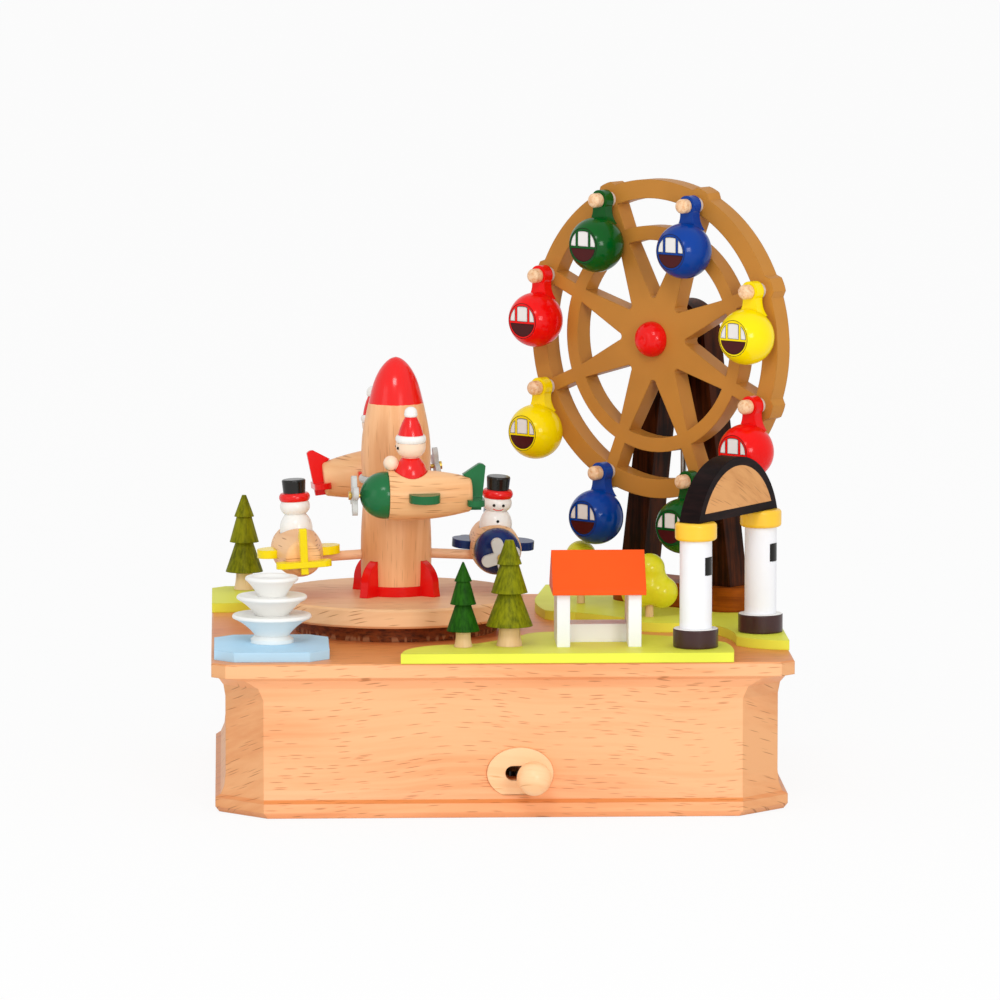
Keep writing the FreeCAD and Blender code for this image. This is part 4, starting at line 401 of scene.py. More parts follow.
# %% Dress the boards and the planting
dress(gloss_paint("lawn_paint", paint_card("#EBEE50"), gloss=0.45, coat=0.05, relief=0.15,
                  shade=0.93), "lawn_pieces")
dress(gloss_paint("pond_paint", paint_card("#B9E2FB"), gloss=0.45, coat=0.05, relief=0.15,
                  shade=0.95), "pond")
dress(gloss_paint("fountain_paint", WHITE, gloss=0.3, coat=0.2, relief=0.06, shade=0.97),
      "fountain")
dress(timber("pale_dowel", paint_card("#F3D2A8"), paint_card("#E3B988"), paint_card("#B88857"),
             cut="post", share=0.4), "tree_trunks")
SLIM_TREE_X, SLIM_TREE_HALF = -13.7 * MM, 7 * MM


def tree_stain():
    """Two greens, leaf green for the slim tree and olive for the others."""
    finish = Finish("tree_stain")
    spot = finish.spot()
    streak = finish.noise(finish.scaled(spot, (900, 900, 70)), detail=3.0, roughness=0.65)
    cloud = finish.noise(finish.scaled(spot, (90, 90, 90)), detail=2.0)
    slim = finish.math("COMPARE", finish.axes(spot)[0], SLIM_TREE_X, SLIM_TREE_HALF)
    tone = finish.smooth(streak * 0.8 + cloud * 0.4, 0.4, 0.85)
    olive = finish.mix(tone, paint_card("#8A8B0C"), paint_card("#4E5405"))
    leaf = finish.mix(tone, paint_card("#265E0C"), paint_card("#0E3605"))
    return finish.surface(
        colour=finish.mix(slim, olive, leaf), roughness=0.5, coat=0.03, coat_roughness=0.3,
        specular=0.06, normal=finish.soft_edge(FINE_EDGE, streak, 0.2))


dress(tree_stain(), "tree_crowns")

# %% [markdown]
# ## Bushes
# Each bush is one carved piece whose lobes melt into each other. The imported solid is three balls
# that meet in creases. So a copy is swelled until its creases fill, remeshed into one skin, drawn
# in again by less, and smoothed; it stands for the node.

# %% Melt the lobes of the bushes together
MERGE = 0.01 * MM
SWELL, DRAW_IN, VOXEL = 3.0 * MM, 1.9 * MM, 0.45 * MM


def copied(node):
    """A node's shape as an editable mesh whose faces are joined up."""
    bare = bmesh.new()
    bare.from_mesh(frame["nodes"][node].data)
    bmesh.ops.remove_doubles(bare, verts=bare.verts, dist=MERGE)
    return bare


def piece_of(name, bare):
    """An editable mesh as a piece in the scene, its normals outwards."""
    bmesh.ops.recalc_face_normals(bare, faces=bare.faces)
    mesh = bpy.data.meshes.new(name)
    bare.to_mesh(mesh)
    bare.free()
    piece = bpy.data.objects.new(name, mesh)
    scene.collection.objects.link(piece)
    return piece


def melted(node, name, material):
    """A copy of a node with its creases filled, as a piece of its own."""
    piece = piece_of(name, copied(node))
    for step, push in (("swell", SWELL), ("draw_in", -DRAW_IN)):
        skin = piece.modifiers.new(step + "_skin", "REMESH")
        skin.mode = "VOXEL"
        skin.voxel_size = VOXEL
        skin.use_smooth_shade = True
        move = piece.modifiers.new(step, "DISPLACE")
        move.strength = push
        move.mid_level = 0
    relax = piece.modifiers.new("relax", "SMOOTH")
    relax.factor = 0.5
    relax.iterations = 10
    return settled(piece, material)


def settled(piece, material=None):
    """Turn a piece and its modifiers into one plain mesh, with its place in the mesh."""
    bpy.context.view_layer.update()
    evaluated = piece.evaluated_get(bpy.context.evaluated_depsgraph_get())
    mesh = bpy.data.meshes.new_from_object(evaluated)
    mesh.transform(piece.matrix_world)
    piece.modifiers.clear()
    piece.matrix_world = Matrix.Identity(4)
    piece.data = mesh
    if material:
        mesh.materials.clear()
        mesh.materials.append(material)
    return piece


lime = gloss_paint("lime_paint", paint_card("#E8E22C"), gloss=0.22, coat=0.3, shade=0.9)
bushes = melted("bushes", "melted_bushes", lime)
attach(bushes, "base")
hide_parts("bushes")
print("bushes", len(bushes.data.polygons), "faces")

# %% [markdown]
# ## Booth and gate
# The booth is white boards under an orange roof. The gate's columns have amber caps and dark feet
# whose tops are white; the arch is stained nearly black round a bare beech panel.

# %% Dress the booth and the gate
dress(gloss_paint("booth_white", paint_card("#F3F4F8"), gloss=0.4, coat=0.1, shade=0.96),
      "booth_stand", "gate_columns")
dress(gloss_paint("roof_orange", paint_card("#FF5A18"), gloss=0.4, coat=0.05, shade=0.93),
      "booth_roof")
dress(stained("arch_stain", paint_card("#241312"), paint_card("#120808"), cut="board"),
      "gate_arch")
dress(timber("sign_beech", paint_card("#E0A262"), paint_card("#C98748"), paint_card("#8A5526"),
             share=0.8, ray_depth=0.45), "gate_panel")


FACES_UP = 0.8


def ring_paint():
    """Amber above, and below dark with white tops."""
    finish = Finish("ring_paint")
    spot = finish.spot()
    z = finish.axes(spot)[2]
    up = finish.axes(finish.add("ShaderNodeNewGeometry", output="Normal"))[2]
    foot = finish.mix(up > FACES_UP, paint_card("#3F2424"), WHITE)
    middle = (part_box("gate_rings")[0].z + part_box("gate_rings")[1].z) / 2
    colour = finish.mix(z > middle, foot, paint_card("#FDC834"))
    grain = finish.noise(finish.scaled(spot, (200, 200, 500)), detail=2.0)
    return finish.surface(colour=colour, roughness=0.3, coat=0.15, coat_roughness=0.15,
                          specular=0.3, normal=finish.soft_edge(BOARD_EDGE, grain, 0.1))


dress(ring_paint(), "gate_rings")

# %% [markdown]
# ## The big wheel
# The wheel is one board sprayed a satin caramel, on a dark stained stand. Its pegs are plain
# dowel, with a whitish washer behind each gondola.

# %% Dress the wheel and its stand
wheel_joint = joints["wheel_spin"]
HUB = Vector(wheel_joint["pos_m"])
OUT = Vector(wheel_joint["axis"])
dress(gloss_paint("caramel_paint", paint_card("#C48538"), gloss=0.38, coat=0.08, relief=0.08,
                  edge=BOARD_EDGE, shade=0.9), "wheel_disc")
dress(stained("stand_stain", paint_card("#57280D"), paint_card("#1C0A03")), "tower_frame")
dress(stained("plinth_stain", paint_card("#A8540E"), paint_card("#7E3A08"), cut="board"),
      "tower_plinth")


WASHERS_END = 3 * MM


def peg_wood():
    """Pale dowel in front, whitish washers close to the wheel."""
    finish = Finish("peg_wood")
    spot = finish.spot()
    depth = finish.along(spot, HUB, OUT)
    ends = finish.noise(finish.scaled(spot, (900, 900, 900)), detail=2.0)
    dowel = finish.mix(finish.smooth(ends, 0.4, 0.7), paint_card("#F7CFA4"),
                       paint_card("#E5AE7C"))
    colour = finish.mix(depth > WASHERS_END, paint_card("#DCD3CC"), dowel)
    return finish.surface(colour=colour, roughness=0.4, coat=0.2, coat_roughness=0.25,
                          normal=finish.soft_edge(FINE_EDGE, ends, 0.1))


dress(peg_wood(), "wheel_pegs")
red = gloss_paint("red_paint", paint_card("#F0120F"), gloss=0.16, coat=0.3, shade=0.88)
green = gloss_paint("green_paint", paint_card("#1F6F3E"), gloss=0.2, coat=0.25, shade=0.8)
yellow = gloss_paint("yellow_paint", paint_card("#FFE400"), gloss=0.2, coat=0.25, shade=0.93)
blue = gloss_paint("blue_paint", paint_card("#0D2A66"), gloss=0.2, coat=0.25, shade=0.8)
GONDOLAS = 8
gondola_paints = [
    gloss_paint("gondola_" + colour, paint_card(code), gloss=0.14, coat=0.22, shade=shade)
    for colour, code, shade in (("green", "#005818", 0.8), ("blue", "#003E9A", 0.8),
                                ("yellow", "#FFE300", 0.95), ("red", "#F50A08", 0.9))]
for number in range(GONDOLAS):
    dress(gondola_paints[number % len(gondola_paints)], "gondola_%d" % (number + 1))
dress(red, "hub_knob")
steel = metal("rod_steel", paint_card("#B4B4B0"), 0.25)
brass = metal("pin_brass", paint_card("#D8B45A"), 0.2)
dress(steel, "drive_rod", "cover_screws", "winding_key", "tone_comb", "spindle", "wheel_axle",
      "gear_pins")
dress(brass, "movement_bedplate", "pinned_cylinder", "drive_gear", "idler_gear_a",
      "idler_gear_b", "rod_gear", "propeller_pins")

# %% [markdown]
# ## The carousel
# The turntable and the rocket are beech; the rocket's nose is dipped in red. The fuselages are
# turned with their grain lengthwise, and as the four planes chase each other round the rocket, the
# grain follows the circle. A polar place gives the shader that direction.

# %% Dress the carousel
AXIS_PLACE = Vector(joints["carousel_spin"]["pos_m"])
ORBIT = 36 * MM
UP = Vector((0, 0, 1))


def round_the_rocket(finish):
    """The spot as (along the circle, height, away from the rocket), in metres."""
    x, y, z = finish.axes(finish.spot())
    dx, dy = x - AXIS_PLACE.x, y - AXIS_PLACE.y
    turn = finish.math("ARCTAN2", dy, dx) * ORBIT
    reach = finish.math("SQRT", dx * dx + dy * dy)
    return finish.add("ShaderNodeCombineXYZ", inputs={0: turn, 1: z, 2: reach})


dress(timber("fuselage_beech", paint_card("#F9C792"), paint_card("#EAAC74"), BEECH_RAY, cut="ring",
             share=0.9, place=round_the_rocket), "plane_bodies")
dress(timber("turntable_beech", paint_card("#F6C797"), paint_card("#E7B07F"), BEECH_RAY,
             share=0.4, gloss=0.5, edge=BOARD_EDGE), "turntable_disc")
dress(timber("arm_dowel", paint_card("#F8C79C"), paint_card("#EDB184"), BEECH_RAY, share=0.3),
      "plane_arms")
dress(gloss_paint("band_grey", paint_card("#CFCFCB"), gloss=0.35, coat=0.1), "rocket_band",
      "propeller_1", "propeller_2", "propeller_3", "propeller_4")


RING_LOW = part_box("turntable_ring")[0].z
CHIPS_START, CHIPS_FULL = RING_LOW + 2.4 * MM, RING_LOW + 1.0 * MM


def ring_stain():
    """Dark stain that has chipped into pale dashes all round the lower edge."""
    finish = Finish("ring_stain")
    spot = finish.spot()
    place = round_the_rocket(finish)
    level = finish.axes(spot)[2]
    streak = finish.noise(finish.scaled(place, (300, 900, 300)), detail=3.0, roughness=0.7)
    chips = finish.noise(finish.scaled(place, (420, 160, 60)), detail=1.0)
    low = finish.smooth(level, CHIPS_START, CHIPS_FULL)
    stain = finish.mix(finish.smooth(streak, 0.35, 0.7), paint_card("#8E4A1E"),
                       paint_card("#54260E"))
    colour = finish.mix(finish.smooth(chips, 0.5, 0.58) * low * 0.7, stain, paint_card("#BE875F"))
    return finish.surface(colour=colour, roughness=0.5, specular=0.2,
                          normal=finish.soft_edge(FINE_EDGE, streak - chips * low, 0.15))


dress(ring_stain(), "turntable_ring")
dress(red, "rocket_fins", "red_trim")
dress(green, "green_trim")
dress(yellow, "yellow_trim")
dress(blue, "blue_trim")

# %% Paint the rocket
NOSE_LEVEL = 137.6 * MM
WAVER = 0.6 * MM


def rocket_finish():
    """Beech with upright grain, and a dipped red nose."""
    finish = Finish("rocket_finish")
    spot = finish.spot()
    wood, height = wood_colour(finish, spot, "post", paint_card("#FCC490"),
                               paint_card("#E9A770"), BEECH_RAY, ray_depth=0.3)
    dip = finish.axes(spot)[2] + finish.noise(finish.scaled(spot, (300, 300, 300))) * WAVER
    painted = dip > NOSE_LEVEL
    return finish.surface(
        colour=finish.mix(painted, wood, paint_card("#EE1210")),
        roughness=0.42 - painted * 0.26, coat=0.1 + painted * 0.2, coat_roughness=0.15,
        specular=0.3, normal=finish.soft_edge(FINE_EDGE, height, 0.06))


# %% [markdown]
# The rocket's top is turned to a round nose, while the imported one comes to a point. So the lower
# barrel is copied with its sockets for the arms, and a new top is spun from a profile: a few
# measured radii with a smooth curve through them. It stands for the node.

# %% Turn the rocket's top
ROCKET_FOOT_LEVEL, TOP_START = 68.0, 43.1
TOP_RADII = [(12.3, 43.1), (12.6, 49.7), (12.3, 56.4), (11.5, 62.0), (10.35, 67.6), (9.5, 71.2),
             (8.7, 74.4), (7.8, 77.3), (6.6, 80.0), (5.1, 82.4), (3.4, 84.3), (1.7, 85.5),
             (0.0, 86.0)]
CURVE_STEPS, ROUND_STEPS = 4, 96
CUT_BELOW = 0.05
CREASE = math.radians(35)


def smooth_line(points, steps):
    """A curve through points: each stretch leaves and arrives along its neighbours' direction."""
    line = []
    ends = [points[0]] + points + [points[-1]]
    for before, start, end, after in zip(ends, ends[1:], ends[2:], ends[3:]):
        for i in range(steps):
            t = i / steps
            line.append(tuple(
                b + 0.5 * t * ((c - a) + t * ((2 * a - 5 * b + 4 * c - d)
                                              + t * (3 * (b - c) + d - a)))
                for a, b, c, d in zip(before, start, end, after)))
    return line + [points[-1]]


def round_nosed_rocket():
    """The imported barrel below, and above it the new top, spun round the carousel's axis."""
    bare = copied("rocket_body")
    start = (ROCKET_FOOT_LEVEL + TOP_START - CUT_BELOW) * MM
    bmesh.ops.delete(bare, geom=[v for v in bare.verts if v.co.z > start], context="VERTS")
    profile = [(0, TOP_START)] + smooth_line(TOP_RADII, CURVE_STEPS)
    rim = [bare.verts.new((AXIS_PLACE.x + reach * MM, AXIS_PLACE.y,
                           (ROCKET_FOOT_LEVEL + level) * MM)) for reach, level in profile]
    sides = [bare.edges.new(pair) for pair in zip(rim, rim[1:])]
    bmesh.ops.spin(bare, geom=rim + sides, cent=AXIS_PLACE, axis=UP, angle=math.tau,
                   steps=ROUND_STEPS, use_merge=True)
    bmesh.ops.remove_doubles(bare, verts=bare.verts, dist=MERGE)
    piece = piece_of("round_nosed_rocket", bare)
    piece.data.shade_smooth()
    piece.data.set_sharp_from_angle(angle=CREASE)
    piece.data.materials.append(rocket_finish())
    return piece


rocket = round_nosed_rocket()
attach(rocket, "carousel")
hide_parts("rocket_body")
print("rocket", len(rocket.data.polygons), "faces")

# %% [markdown]
# ## The pilots
# Two snowmen and two dolls in bobble hats are turned in one piece and painted in rings. Each
# stands in its own aeroplane, a little tilted, so the paint's rings are levels along that figure's
# own axis: the distance along the axis goes through a ramp with hard steps.

# %% Where each aeroplane flies
# Degrees round the rocket, height in millimetres, and how many degrees its nose is up.
PLANES = {
    "yellow": (180, 84.2, 0),
    "blue": (0, 84.2, -4),
    "green": (-90, 108, 0),
    "red": (90, 108, 6),
}
ARM_TURN = 5
ARM_DROOP = -3


def plane_frame(name):
    """The matrix that takes an aeroplane's own millimetres to the model's metres."""
    turn, level, pitch = PLANES[name]
    bearing = math.radians(ARM_TURN + turn)
    place = Vector((AXIS_PLACE.x + ORBIT * math.cos(bearing),
                    AXIS_PLACE.y + ORBIT * math.sin(bearing), level * MM))
    rotation = (Matrix.Rotation(bearing - math.pi / 2, 4, "Z")
                @ Matrix.Rotation(math.radians(ARM_DROOP), 4, "X")
                @ Matrix.Rotation(math.radians(-pitch), 4, "Y"))
    return Matrix.Translation(place) @ rotation @ Matrix.Scale(MM, 4)


def height_in_figure(finish, spot, name):
    """How far up a figure's own axis a spot is, in millimetres."""
    own = plane_frame(name)
    return finish.along(spot, own.translation, (own.to_3x3() @ UP).normalized()) * 1000


def ringed_paint(name, first, second, axis, rings, extra=None):
    """Paint in rings for two figures, told apart by which side of the rocket they are on."""
    finish = Finish(name)
    spot = finish.spot()
    side = finish.axes(spot)[axis] > AXIS_PLACE[axis]
    low = height_in_figure(finish, spot, first)
    high = height_in_figure(finish, spot, second)
    level = low + (high - low) * side
    ramp = finish.add("ShaderNodeValToRGB", {"stops": [(z / FIGURE_TOP, colour)
                                                      for z, colour in rings]},
                      {"Fac": level / FIGURE_TOP})
    ramp.socket.node.color_ramp.interpolation = "CONSTANT"
    colour = extra(finish, spot, ramp) if extra else ramp
    grain = finish.noise(finish.scaled(spot, (200, 200, 200)), detail=2.0)
    return finish.surface(colour=colour, roughness=0.22, coat=0.25, coat_roughness=0.12,
                          specular=0.3,
                          normal=finish.soft_edge(FINE_EDGE, grain, 0.08))


FIGURE_TOP = 40
FIGURE_RED = paint_card("#E81210")
FIGURE_WHITE = paint_card("#F3F1EC")
SKIN = paint_card("#FBDCC0")
HANDS_PLACE = Vector((5.9, 0, 11.6))
HANDS_RADIUS = 2.9 * MM


def with_hands(finish, spot, colour):
    """The dolls' joined hands are skin coloured."""
    for name in ("green", "red"):
        centre = plane_frame(name) @ HANDS_PLACE
        gap = finish.add("ShaderNodeVectorMath", {"operation": "DISTANCE"},
                         {0: spot, 1: centre[:]}, output="Value")
        colour = finish.mix(gap < HANDS_RADIUS, colour, SKIN)
    return colour


dress(ringed_paint("snowman_paint", "yellow", "blue", 0,
                   [(0, FIGURE_WHITE), (18.0, FIGURE_RED), (21.0, BLACK)]), "snowmen")
dress(ringed_paint("doll_paint", "green", "red", 1,
                   [(0, FIGURE_RED), (13.5, SKIN), (19.0, FIGURE_WHITE), (21.7, FIGURE_RED),
                    (28.2, FIGURE_WHITE)], with_hands), "dolls")

# %% [markdown]
# ## Lines, plates and dots
# The last details are printed or dabbed on: the windows on the gondolas, the eyes of the pilots and
# the buttons and smiles of the snowmen. They are the same few strokes again and again, so three
# small Geometry Nodes trees make them: one draws a thin line along an outline, one fills outlines
# with a thin plate, and one sets a dot on each point. The paint is real, slightly raised geometry.

# %% A Geometry Nodes tree while it is made
class Recipe:
    """A Geometry Nodes tree with named inputs."""

    def __init__(self, name, **sizes):
        self.tree = bpy.data.node_groups.new(name, "GeometryNodeTree")
        face = self.tree.interface
        face.new_socket("Geometry", in_out="INPUT", socket_type="NodeSocketGeometry")
        face.new_socket("Geometry", in_out="OUTPUT", socket_type="NodeSocketGeometry")
        for label, value in sizes.items():
            size = face.new_socket(label, in_out="INPUT", socket_type="NodeSocketFloat")
            size.default_value = value
        face.new_socket("paint", in_out="INPUT", socket_type="NodeSocketMaterial")
        self.inputs = self.tree.nodes.new("NodeGroupInput").outputs

    def add(self, kind, settings=None, inputs=None, output=0):
        node = self.tree.nodes.new(kind)
        for key, value in (settings or {}).items():
            setattr(node, key, value)
        for key, value in (inputs or {}).items():
            if isinstance(value, bpy.types.NodeSocket):
                self.tree.links.new(value, node.inputs[key])
            else:
                node.inputs[key].default_value = value
        return node.outputs[output]

    def close(self, geometry):
        """Make instances real, set the paint and end the tree."""
        real = self.add("GeometryNodeRealizeInstances", inputs={0: geometry})
        smooth = self.add("GeometryNodeSetShadeSmooth", inputs={0: real, "Shade Smooth": False})
        painted = self.add("GeometryNodeSetMaterial",
                           inputs={0: smooth, "Material": self.inputs["paint"]})
        end = self.tree.nodes.new("NodeGroupOutput")
        self.tree.links.new(painted, end.inputs[0])
        return self

    def cook(self, name, mesh, paint, **sizes):
        """Run the tree on a mesh and return the plain mesh that it makes."""
        piece = bpy.data.objects.new(name, mesh)
        scene.collection.objects.link(piece)
        modifier = piece.modifiers.new("recipe", "NODES")
        modifier.node_group = self.tree
        keys = {item.name: item.identifier for item in self.tree.interface.items_tree
                if item.in_out == "INPUT"}
        modifier[keys["paint"]] = paint
        for label, value in sizes.items():
            modifier[keys[label]] = value
        return settled(piece)


# %% A line along outlines
def line_recipe():
    recipe = Recipe("drawn_line", thickness=0.2 * MM)
    path = recipe.add("GeometryNodeMeshToCurve", inputs={0: recipe.inputs["Geometry"]})
    half = recipe.add("ShaderNodeMath", {"operation": "MULTIPLY"},
                      {0: recipe.inputs["thickness"], 1: 0.5})
    pen = recipe.add("GeometryNodeCurvePrimitiveCircle", inputs={"Resolution": 8, "Radius": half})
    return recipe.close(recipe.add("GeometryNodeCurveToMesh", inputs={
        "Curve": path, "Profile Curve": pen, "Fill Caps": True}))


# %% A thin plate inside outlines
def plate_recipe():
    recipe = Recipe("painted_plate", height=0.06 * MM)
    path = recipe.add("GeometryNodeMeshToCurve", inputs={0: recipe.inputs["Geometry"]})
    under = recipe.add("GeometryNodeFillCurve", inputs={0: path})
    upper = recipe.add("GeometryNodeExtrudeMesh", inputs={
        "Mesh": under, "Offset Scale": recipe.inputs["height"], "Individual": False})
    below = recipe.add("GeometryNodeFlipFaces", inputs={0: under})
    both = recipe.add("GeometryNodeJoinGeometry", inputs={0: upper})
    recipe.tree.links.new(below, both.node.inputs[0])
    return recipe.close(recipe.add("GeometryNodeMergeByDistance", inputs={
        0: both, "Distance": 0.005 * MM}))


# %% A dot on each point
def dot_recipe():
    recipe = Recipe("dabbed_dot", radius=0.55 * MM)
    dab = recipe.add("GeometryNodeMeshIcoSphere", inputs={
        "Radius": recipe.inputs["radius"], "Subdivisions": 3})
    return recipe.close(recipe.add("GeometryNodeInstanceOnPoints", inputs={
        "Points": recipe.inputs["Geometry"], "Instance": dab}))


drawn_line, painted_plate, dabbed_dot = line_recipe(), plate_recipe(), dot_recipe()


def strokes(name, lines, closed=True):
    """Lines of points as a mesh of edges."""
    mesh = bpy.data.meshes.new(name)
    points, edges = [], []
    for line in lines:
        first = len(points)
        points += line
        edges += [(first + i, first + i + 1) for i in range(len(line) - 1)]
        if closed:
            edges.append((len(points) - 1, first))
    mesh.from_pydata(points, edges, [])
    return mesh


# %% [markdown]
# ## The gondolas' windows
# Each gondola's flat front carries the same print: a ring, three panes under its arc and a maroon
# half disc below. The print is drawn once, flat, in millimetres, and copied to the eight fronts. A
# front hangs straight below its peg, so its place follows from the peg's place on the wheel.

# %% Draw the print
RING_RADIUS, GLASS_RADIUS = 6.45, 5.75
PANE_HALF, SIDE_START, SILL, SKIRT_TOP = 2.45, 3.5, -0.2, -1.0
PANE_TOP, PANE_CROWN = 5.0, 0.4
PRINT_HEIGHT, PRINT_LINE = 0.06, 0.2
RING_STEPS = 48


def arc(radius, start, end, steps):
    """Points along part of a circle."""
    turns = [start + (end - start) * i / steps for i in range(steps + 1)]
    return [(radius * math.cos(t), radius * math.sin(t), 0) for t in turns]


ring = arc(RING_RADIUS, 0, math.tau * (RING_STEPS - 1) / RING_STEPS, RING_STEPS - 1)
sill_turn = math.asin(SILL / GLASS_RADIUS)
side_turn = math.acos(SIDE_START / GLASS_RADIUS)
right_pane = arc(GLASS_RADIUS, sill_turn, side_turn, 10) + [(SIDE_START, SILL, 0)]
left_pane = [(-x, y, z) for x, y, z in reversed(right_pane)]
centre_pane = [(-PANE_HALF, SILL, 0), (PANE_HALF, SILL, 0)] + [
    (PANE_HALF * math.cos(t), PANE_TOP + PANE_CROWN * math.sin(t), 0)
    for t in [math.pi * i / 12 for i in range(13)]]
skirt_turn = math.asin(-SKIRT_TOP / GLASS_RADIUS)
skirt = arc(GLASS_RADIUS, math.pi + skirt_turn, math.tau - skirt_turn, 24)

glass = gloss_paint("pane_white", paint_card("#EDEBE8"), gloss=0.3, coat=0.2, shade=0.95)
maroon = gloss_paint("print_maroon", paint_card("#4A0D0D"), gloss=0.3, coat=0.2, shade=0.9)
ink = gloss_paint("print_ink", paint_card("#1E0B0A"), gloss=0.35, coat=0.1, shade=0.9)


def printed_window():
    """The whole print as one mesh, in millimetres, facing up."""
    whole = bmesh.new()
    panes = [left_pane, centre_pane, right_pane]
    parts = (
        (glass, painted_plate.cook("panes", strokes("panes", panes), glass,
                                   height=PRINT_HEIGHT)),
        (maroon, painted_plate.cook("skirt", strokes("skirt", [skirt]), maroon,
                                    height=PRINT_HEIGHT)),
        (ink, drawn_line.cook("outlines", strokes("outlines", panes + [ring, skirt]), ink,
                              thickness=PRINT_LINE)))
    mesh = bpy.data.meshes.new("printed_window")
    for index, (paint, part) in enumerate(parts):
        mesh.materials.append(paint)
        before = len(whole.faces)
        whole.from_mesh(part.data)
        whole.faces.ensure_lookup_table()
        for face in whole.faces[before:]:
            face.material_index = index
        bpy.data.objects.remove(part)
    whole.to_mesh(mesh)
    whole.free()
    return mesh


window = printed_window()
PEG_REACH = 54.2
FIRST_PEG, PEG_STEP = 112.5, 360 / GONDOLAS
FRONT_OUT, FRONT_DROP = 15.1, 16.2
ALONG = Vector((-OUT.y, OUT.x, 0))
for number in range(GONDOLAS):
    turn = math.radians(FIRST_PEG - PEG_STEP * number)
    peg = HUB + (ALONG * math.cos(turn) + UP * math.sin(turn)) * PEG_REACH * MM
    front = peg + (OUT * FRONT_OUT - UP * FRONT_DROP) * MM
    place = Matrix((ALONG, UP, OUT)).transposed().to_4x4()
    place.translation = front
    mesh = window.copy()
    mesh.transform(place @ Matrix.Scale(MM, 4))
    body = "gondola_%d" % (number + 1)
    piece = bpy.data.objects.new(body + "_windows", mesh)
    scene.collection.objects.link(piece)
    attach(piece, body)
print("a window print has", len(window.polygons), "faces")

# %% [markdown]
# ## Faces and buttons
# The snowmen have coal eyes, one button and a thin red smile; the dolls have two plain dot eyes.
# Each mark is found by looking back at the figure from in front of its aeroplane: a ray meets the
# wood, and the dot or the line sits there.

# %% Mark the figures
FAR_AHEAD = 20


def on_figure(node, plane, side, level):
    """Where a ray from straight ahead meets a figure, for a place in its own millimetres."""
    own = plane_frame(plane)
    start = own @ Vector((FAR_AHEAD, side, level))
    back = (own.to_3x3() @ Vector((-1, 0, 0))).normalized()
    hit, where, _, _ = frame["nodes"][node].ray_cast(start, back)
    if not hit:
        raise ValueError("no surface there: %s %s %s" % (node, side, level))
    return where


def mark(name, piece, slot):
    """Let the marks ride with the figures."""
    piece.name = name
    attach(piece, "carousel")
    print(name, len(piece.data.polygons), "faces")


SNOW_EYE, SNOW_BUTTON, DOLL_EYE = (1.7, 16.0), (0, 10.2), (2.3, 17.3)
dots = []
for plane in ("yellow", "blue"):
    dots += [on_figure("snowmen", plane, hand * SNOW_EYE[0], SNOW_EYE[1]) for hand in (-1, 1)]
    dots.append(on_figure("snowmen", plane, *SNOW_BUTTON))
for plane in ("green", "red"):
    dots += [on_figure("dolls", plane, hand * DOLL_EYE[0], DOLL_EYE[1]) for hand in (-1, 1)]
coal = gloss_paint("coal_black", BLACK, gloss=0.2, coat=0.3, shade=0.9)
mark("figure_dots", dabbed_dot.cook("dots", strokes("dots", [[p] for p in dots], False), coal),
     "dark_stain")

SMILE_SIDE, SMILE_LEVEL, SMILE_RISE = 1.85, 14.1, 0.5
SMILE_STEPS, SMILE_LINE = 12, 0.35 * MM
smiles = []
for plane in ("yellow", "blue"):
    sides = [SMILE_SIDE * (2 * i / SMILE_STEPS - 1) for i in range(SMILE_STEPS + 1)]
    smiles.append([on_figure("snowmen", plane, side,
                             SMILE_LEVEL + SMILE_RISE * (side / SMILE_SIDE) ** 2)
                   for side in sides])
mark("snowman_smiles", drawn_line.cook("smiles", strokes("smiles", smiles, False), red,
                                       thickness=SMILE_LINE), "red")

# %% [markdown]
# ## Dark windows on the gate's columns
# Each column has one tall dark window on the side away from the booth. It follows the round
# column, so it is a strip of an upright tube: a thin shell made in slices round the column's axis,
# closed all round, its edges sunk into the wood.

# %% Set the windows
GATE_MIDDLE = Vector((81.05, -57.85, 0))
GATE_ALONG, GATE_OUT = Vector((0.559, 0.829, 0)), Vector((0.829, -0.559, 0))
COLUMN_SIDE = 22.95
WINDOW_HALF, WINDOW_LOW, WINDOW_HIGH = math.radians(25), 84.3, 90.6
SHELL_IN, SHELL_OUT = 4.8, 5.8
SLICES = 12


def column_windows():
    """Both windows as one mesh of closed shells."""
    shells = bmesh.new()
    for side in (-COLUMN_SIDE, COLUMN_SIDE):
        axis = GATE_MIDDLE + GATE_ALONG * side
        slices = []
        for i in range(SLICES + 1):
            turn = WINDOW_HALF * (2 * i / SLICES - 1)
            out = GATE_OUT * math.cos(turn) + GATE_ALONG * math.sin(turn)
            slices.append([shells.verts.new((axis + out * reach + UP * level) * MM)
                           for reach, level in ((SHELL_IN, WINDOW_LOW), (SHELL_OUT, WINDOW_LOW),
                                                (SHELL_OUT, WINDOW_HIGH), (SHELL_IN, WINDOW_HIGH))])
        for near, far in zip(slices, slices[1:]):
            for k in range(4):
                shells.faces.new((near[k], near[k - 1], far[k - 1], far[k]))
        shells.faces.new(slices[0])
        shells.faces.new(slices[-1][::-1])
    bmesh.ops.recalc_face_normals(shells, faces=shells.faces)
    mesh = bpy.data.meshes.new("column_windows")
    shells.to_mesh(mesh)
    shells.free()
    mesh.materials.append(coal)
    return mesh


windows = bpy.data.objects.new("column_windows", column_windows())
scene.collection.objects.link(windows)
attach(windows, "base")
print("column windows", len(windows.data.polygons), "faces")

# %% [markdown]
# ## Soft studio light
# The world gives bright, even light, and three soft boxes on the camera's side put small highlights
# on the gloss paint. The floor and the world are white to the camera, and the floor keeps a faint
# shadow.

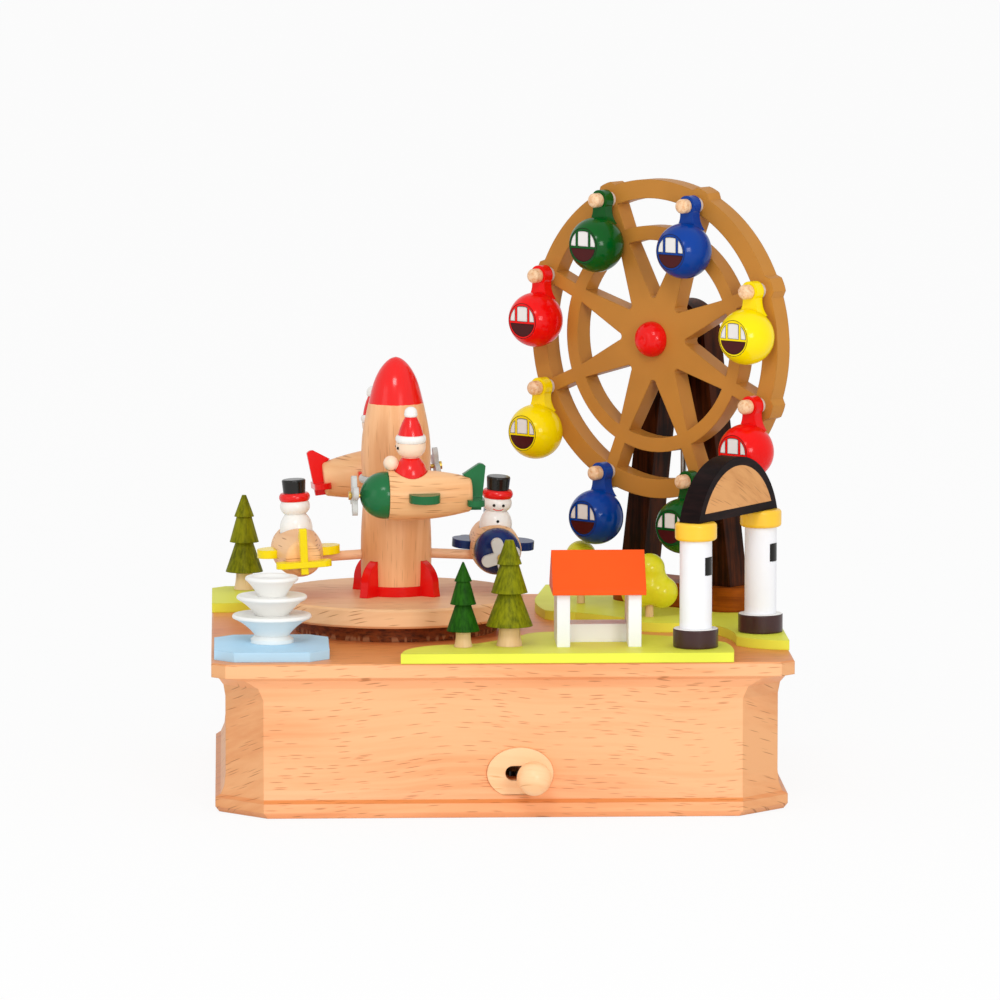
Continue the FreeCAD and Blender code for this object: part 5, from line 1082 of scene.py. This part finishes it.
# %% Lights, world and floor
def soft_box(name, place, aim, size, power):
    """A rectangular lamp of some size in metres and power in watts."""
    light = bpy.data.lights.new(name, "AREA")
    light.shape = "RECTANGLE"
    light.size, light.size_y = size
    light.energy = power
    lamp = bpy.data.objects.new(name, light)
    lamp.location = place
    lamp.rotation_euler = (Vector(aim) - Vector(place)).to_track_quat("-Z", "Y").to_euler()
    scene.collection.objects.link(lamp)


AIM = (0, 0, 0.1)
soft_box("front_box", (0.5, -1.5, 0.45), AIM, (0.4, 0.4), 5.6)
soft_box("high_box", (-0.2, -1.2, 1.05), AIM, (0.4, 0.3), 4.2)
soft_box("left_box", (-1.2, -0.9, 0.4), AIM, (0.6, 0.8), 1.2)
WORLD_STRENGTH = 0.74
MIRRORED = 0.25


class Sky(Finish):
    """The world while it is made, with a material's helpers."""

    def __init__(self, world):
        world.use_nodes = True
        self.tree = world.node_tree


def white_to_lens(finish):
    """How white the surroundings are made: wholly for the lens, partly where mirrored."""
    lens_ray, glossy_ray, passing_ray = [
        finish.add("ShaderNodeLightPath", output=ray)
        for ray in ("Is Camera Ray", "Is Glossy Ray", "Is Transmission Ray")]
    return lens_ray + (glossy_ray + passing_ray) * MIRRORED


def white_world():
    """Soft light on the toy, and plain white behind it."""
    world = bpy.data.worlds.new("studio")
    scene.world = world
    sky = Sky(world)
    light = sky.add("ShaderNodeBackground", inputs={"Color": PURE_WHITE,
                                                    "Strength": WORLD_STRENGTH})
    white = sky.add("ShaderNodeBackground", inputs={"Color": PURE_WHITE})
    sky.show(sky.add("ShaderNodeMixShader", inputs={0: white_to_lens(sky), 1: light, 2: white}))


white_world()
FLOOR_WHITE = 0.9
PAPER = (0.9, 0.9, 0.9, 1)
FLOOR_SIZE, FLOOR_LEVEL = 12, -0.0002


def white_floor():
    """Lit like paper, with most of its white of its own, so that only a faint shadow stays."""
    finish = Finish("studio_floor")
    finish.surface(colour=PAPER, roughness=0.9, specular=0.0)
    paper = Wire(finish, finish.shader.outputs[0])
    glow = finish.add("ShaderNodeEmission", inputs={"Color": PURE_WHITE, "Strength": 1.0})
    share = white_to_lens(finish) * FLOOR_WHITE
    finish.show(finish.add("ShaderNodeMixShader", inputs={0: share, 1: paper, 2: glow}))
    return finish.material


bpy.ops.mesh.primitive_plane_add(size=FLOOR_SIZE, location=(0, 0, FLOOR_LEVEL))
floor = bpy.context.object
floor.name = "studio_floor"
floor.data.materials.append(white_floor())
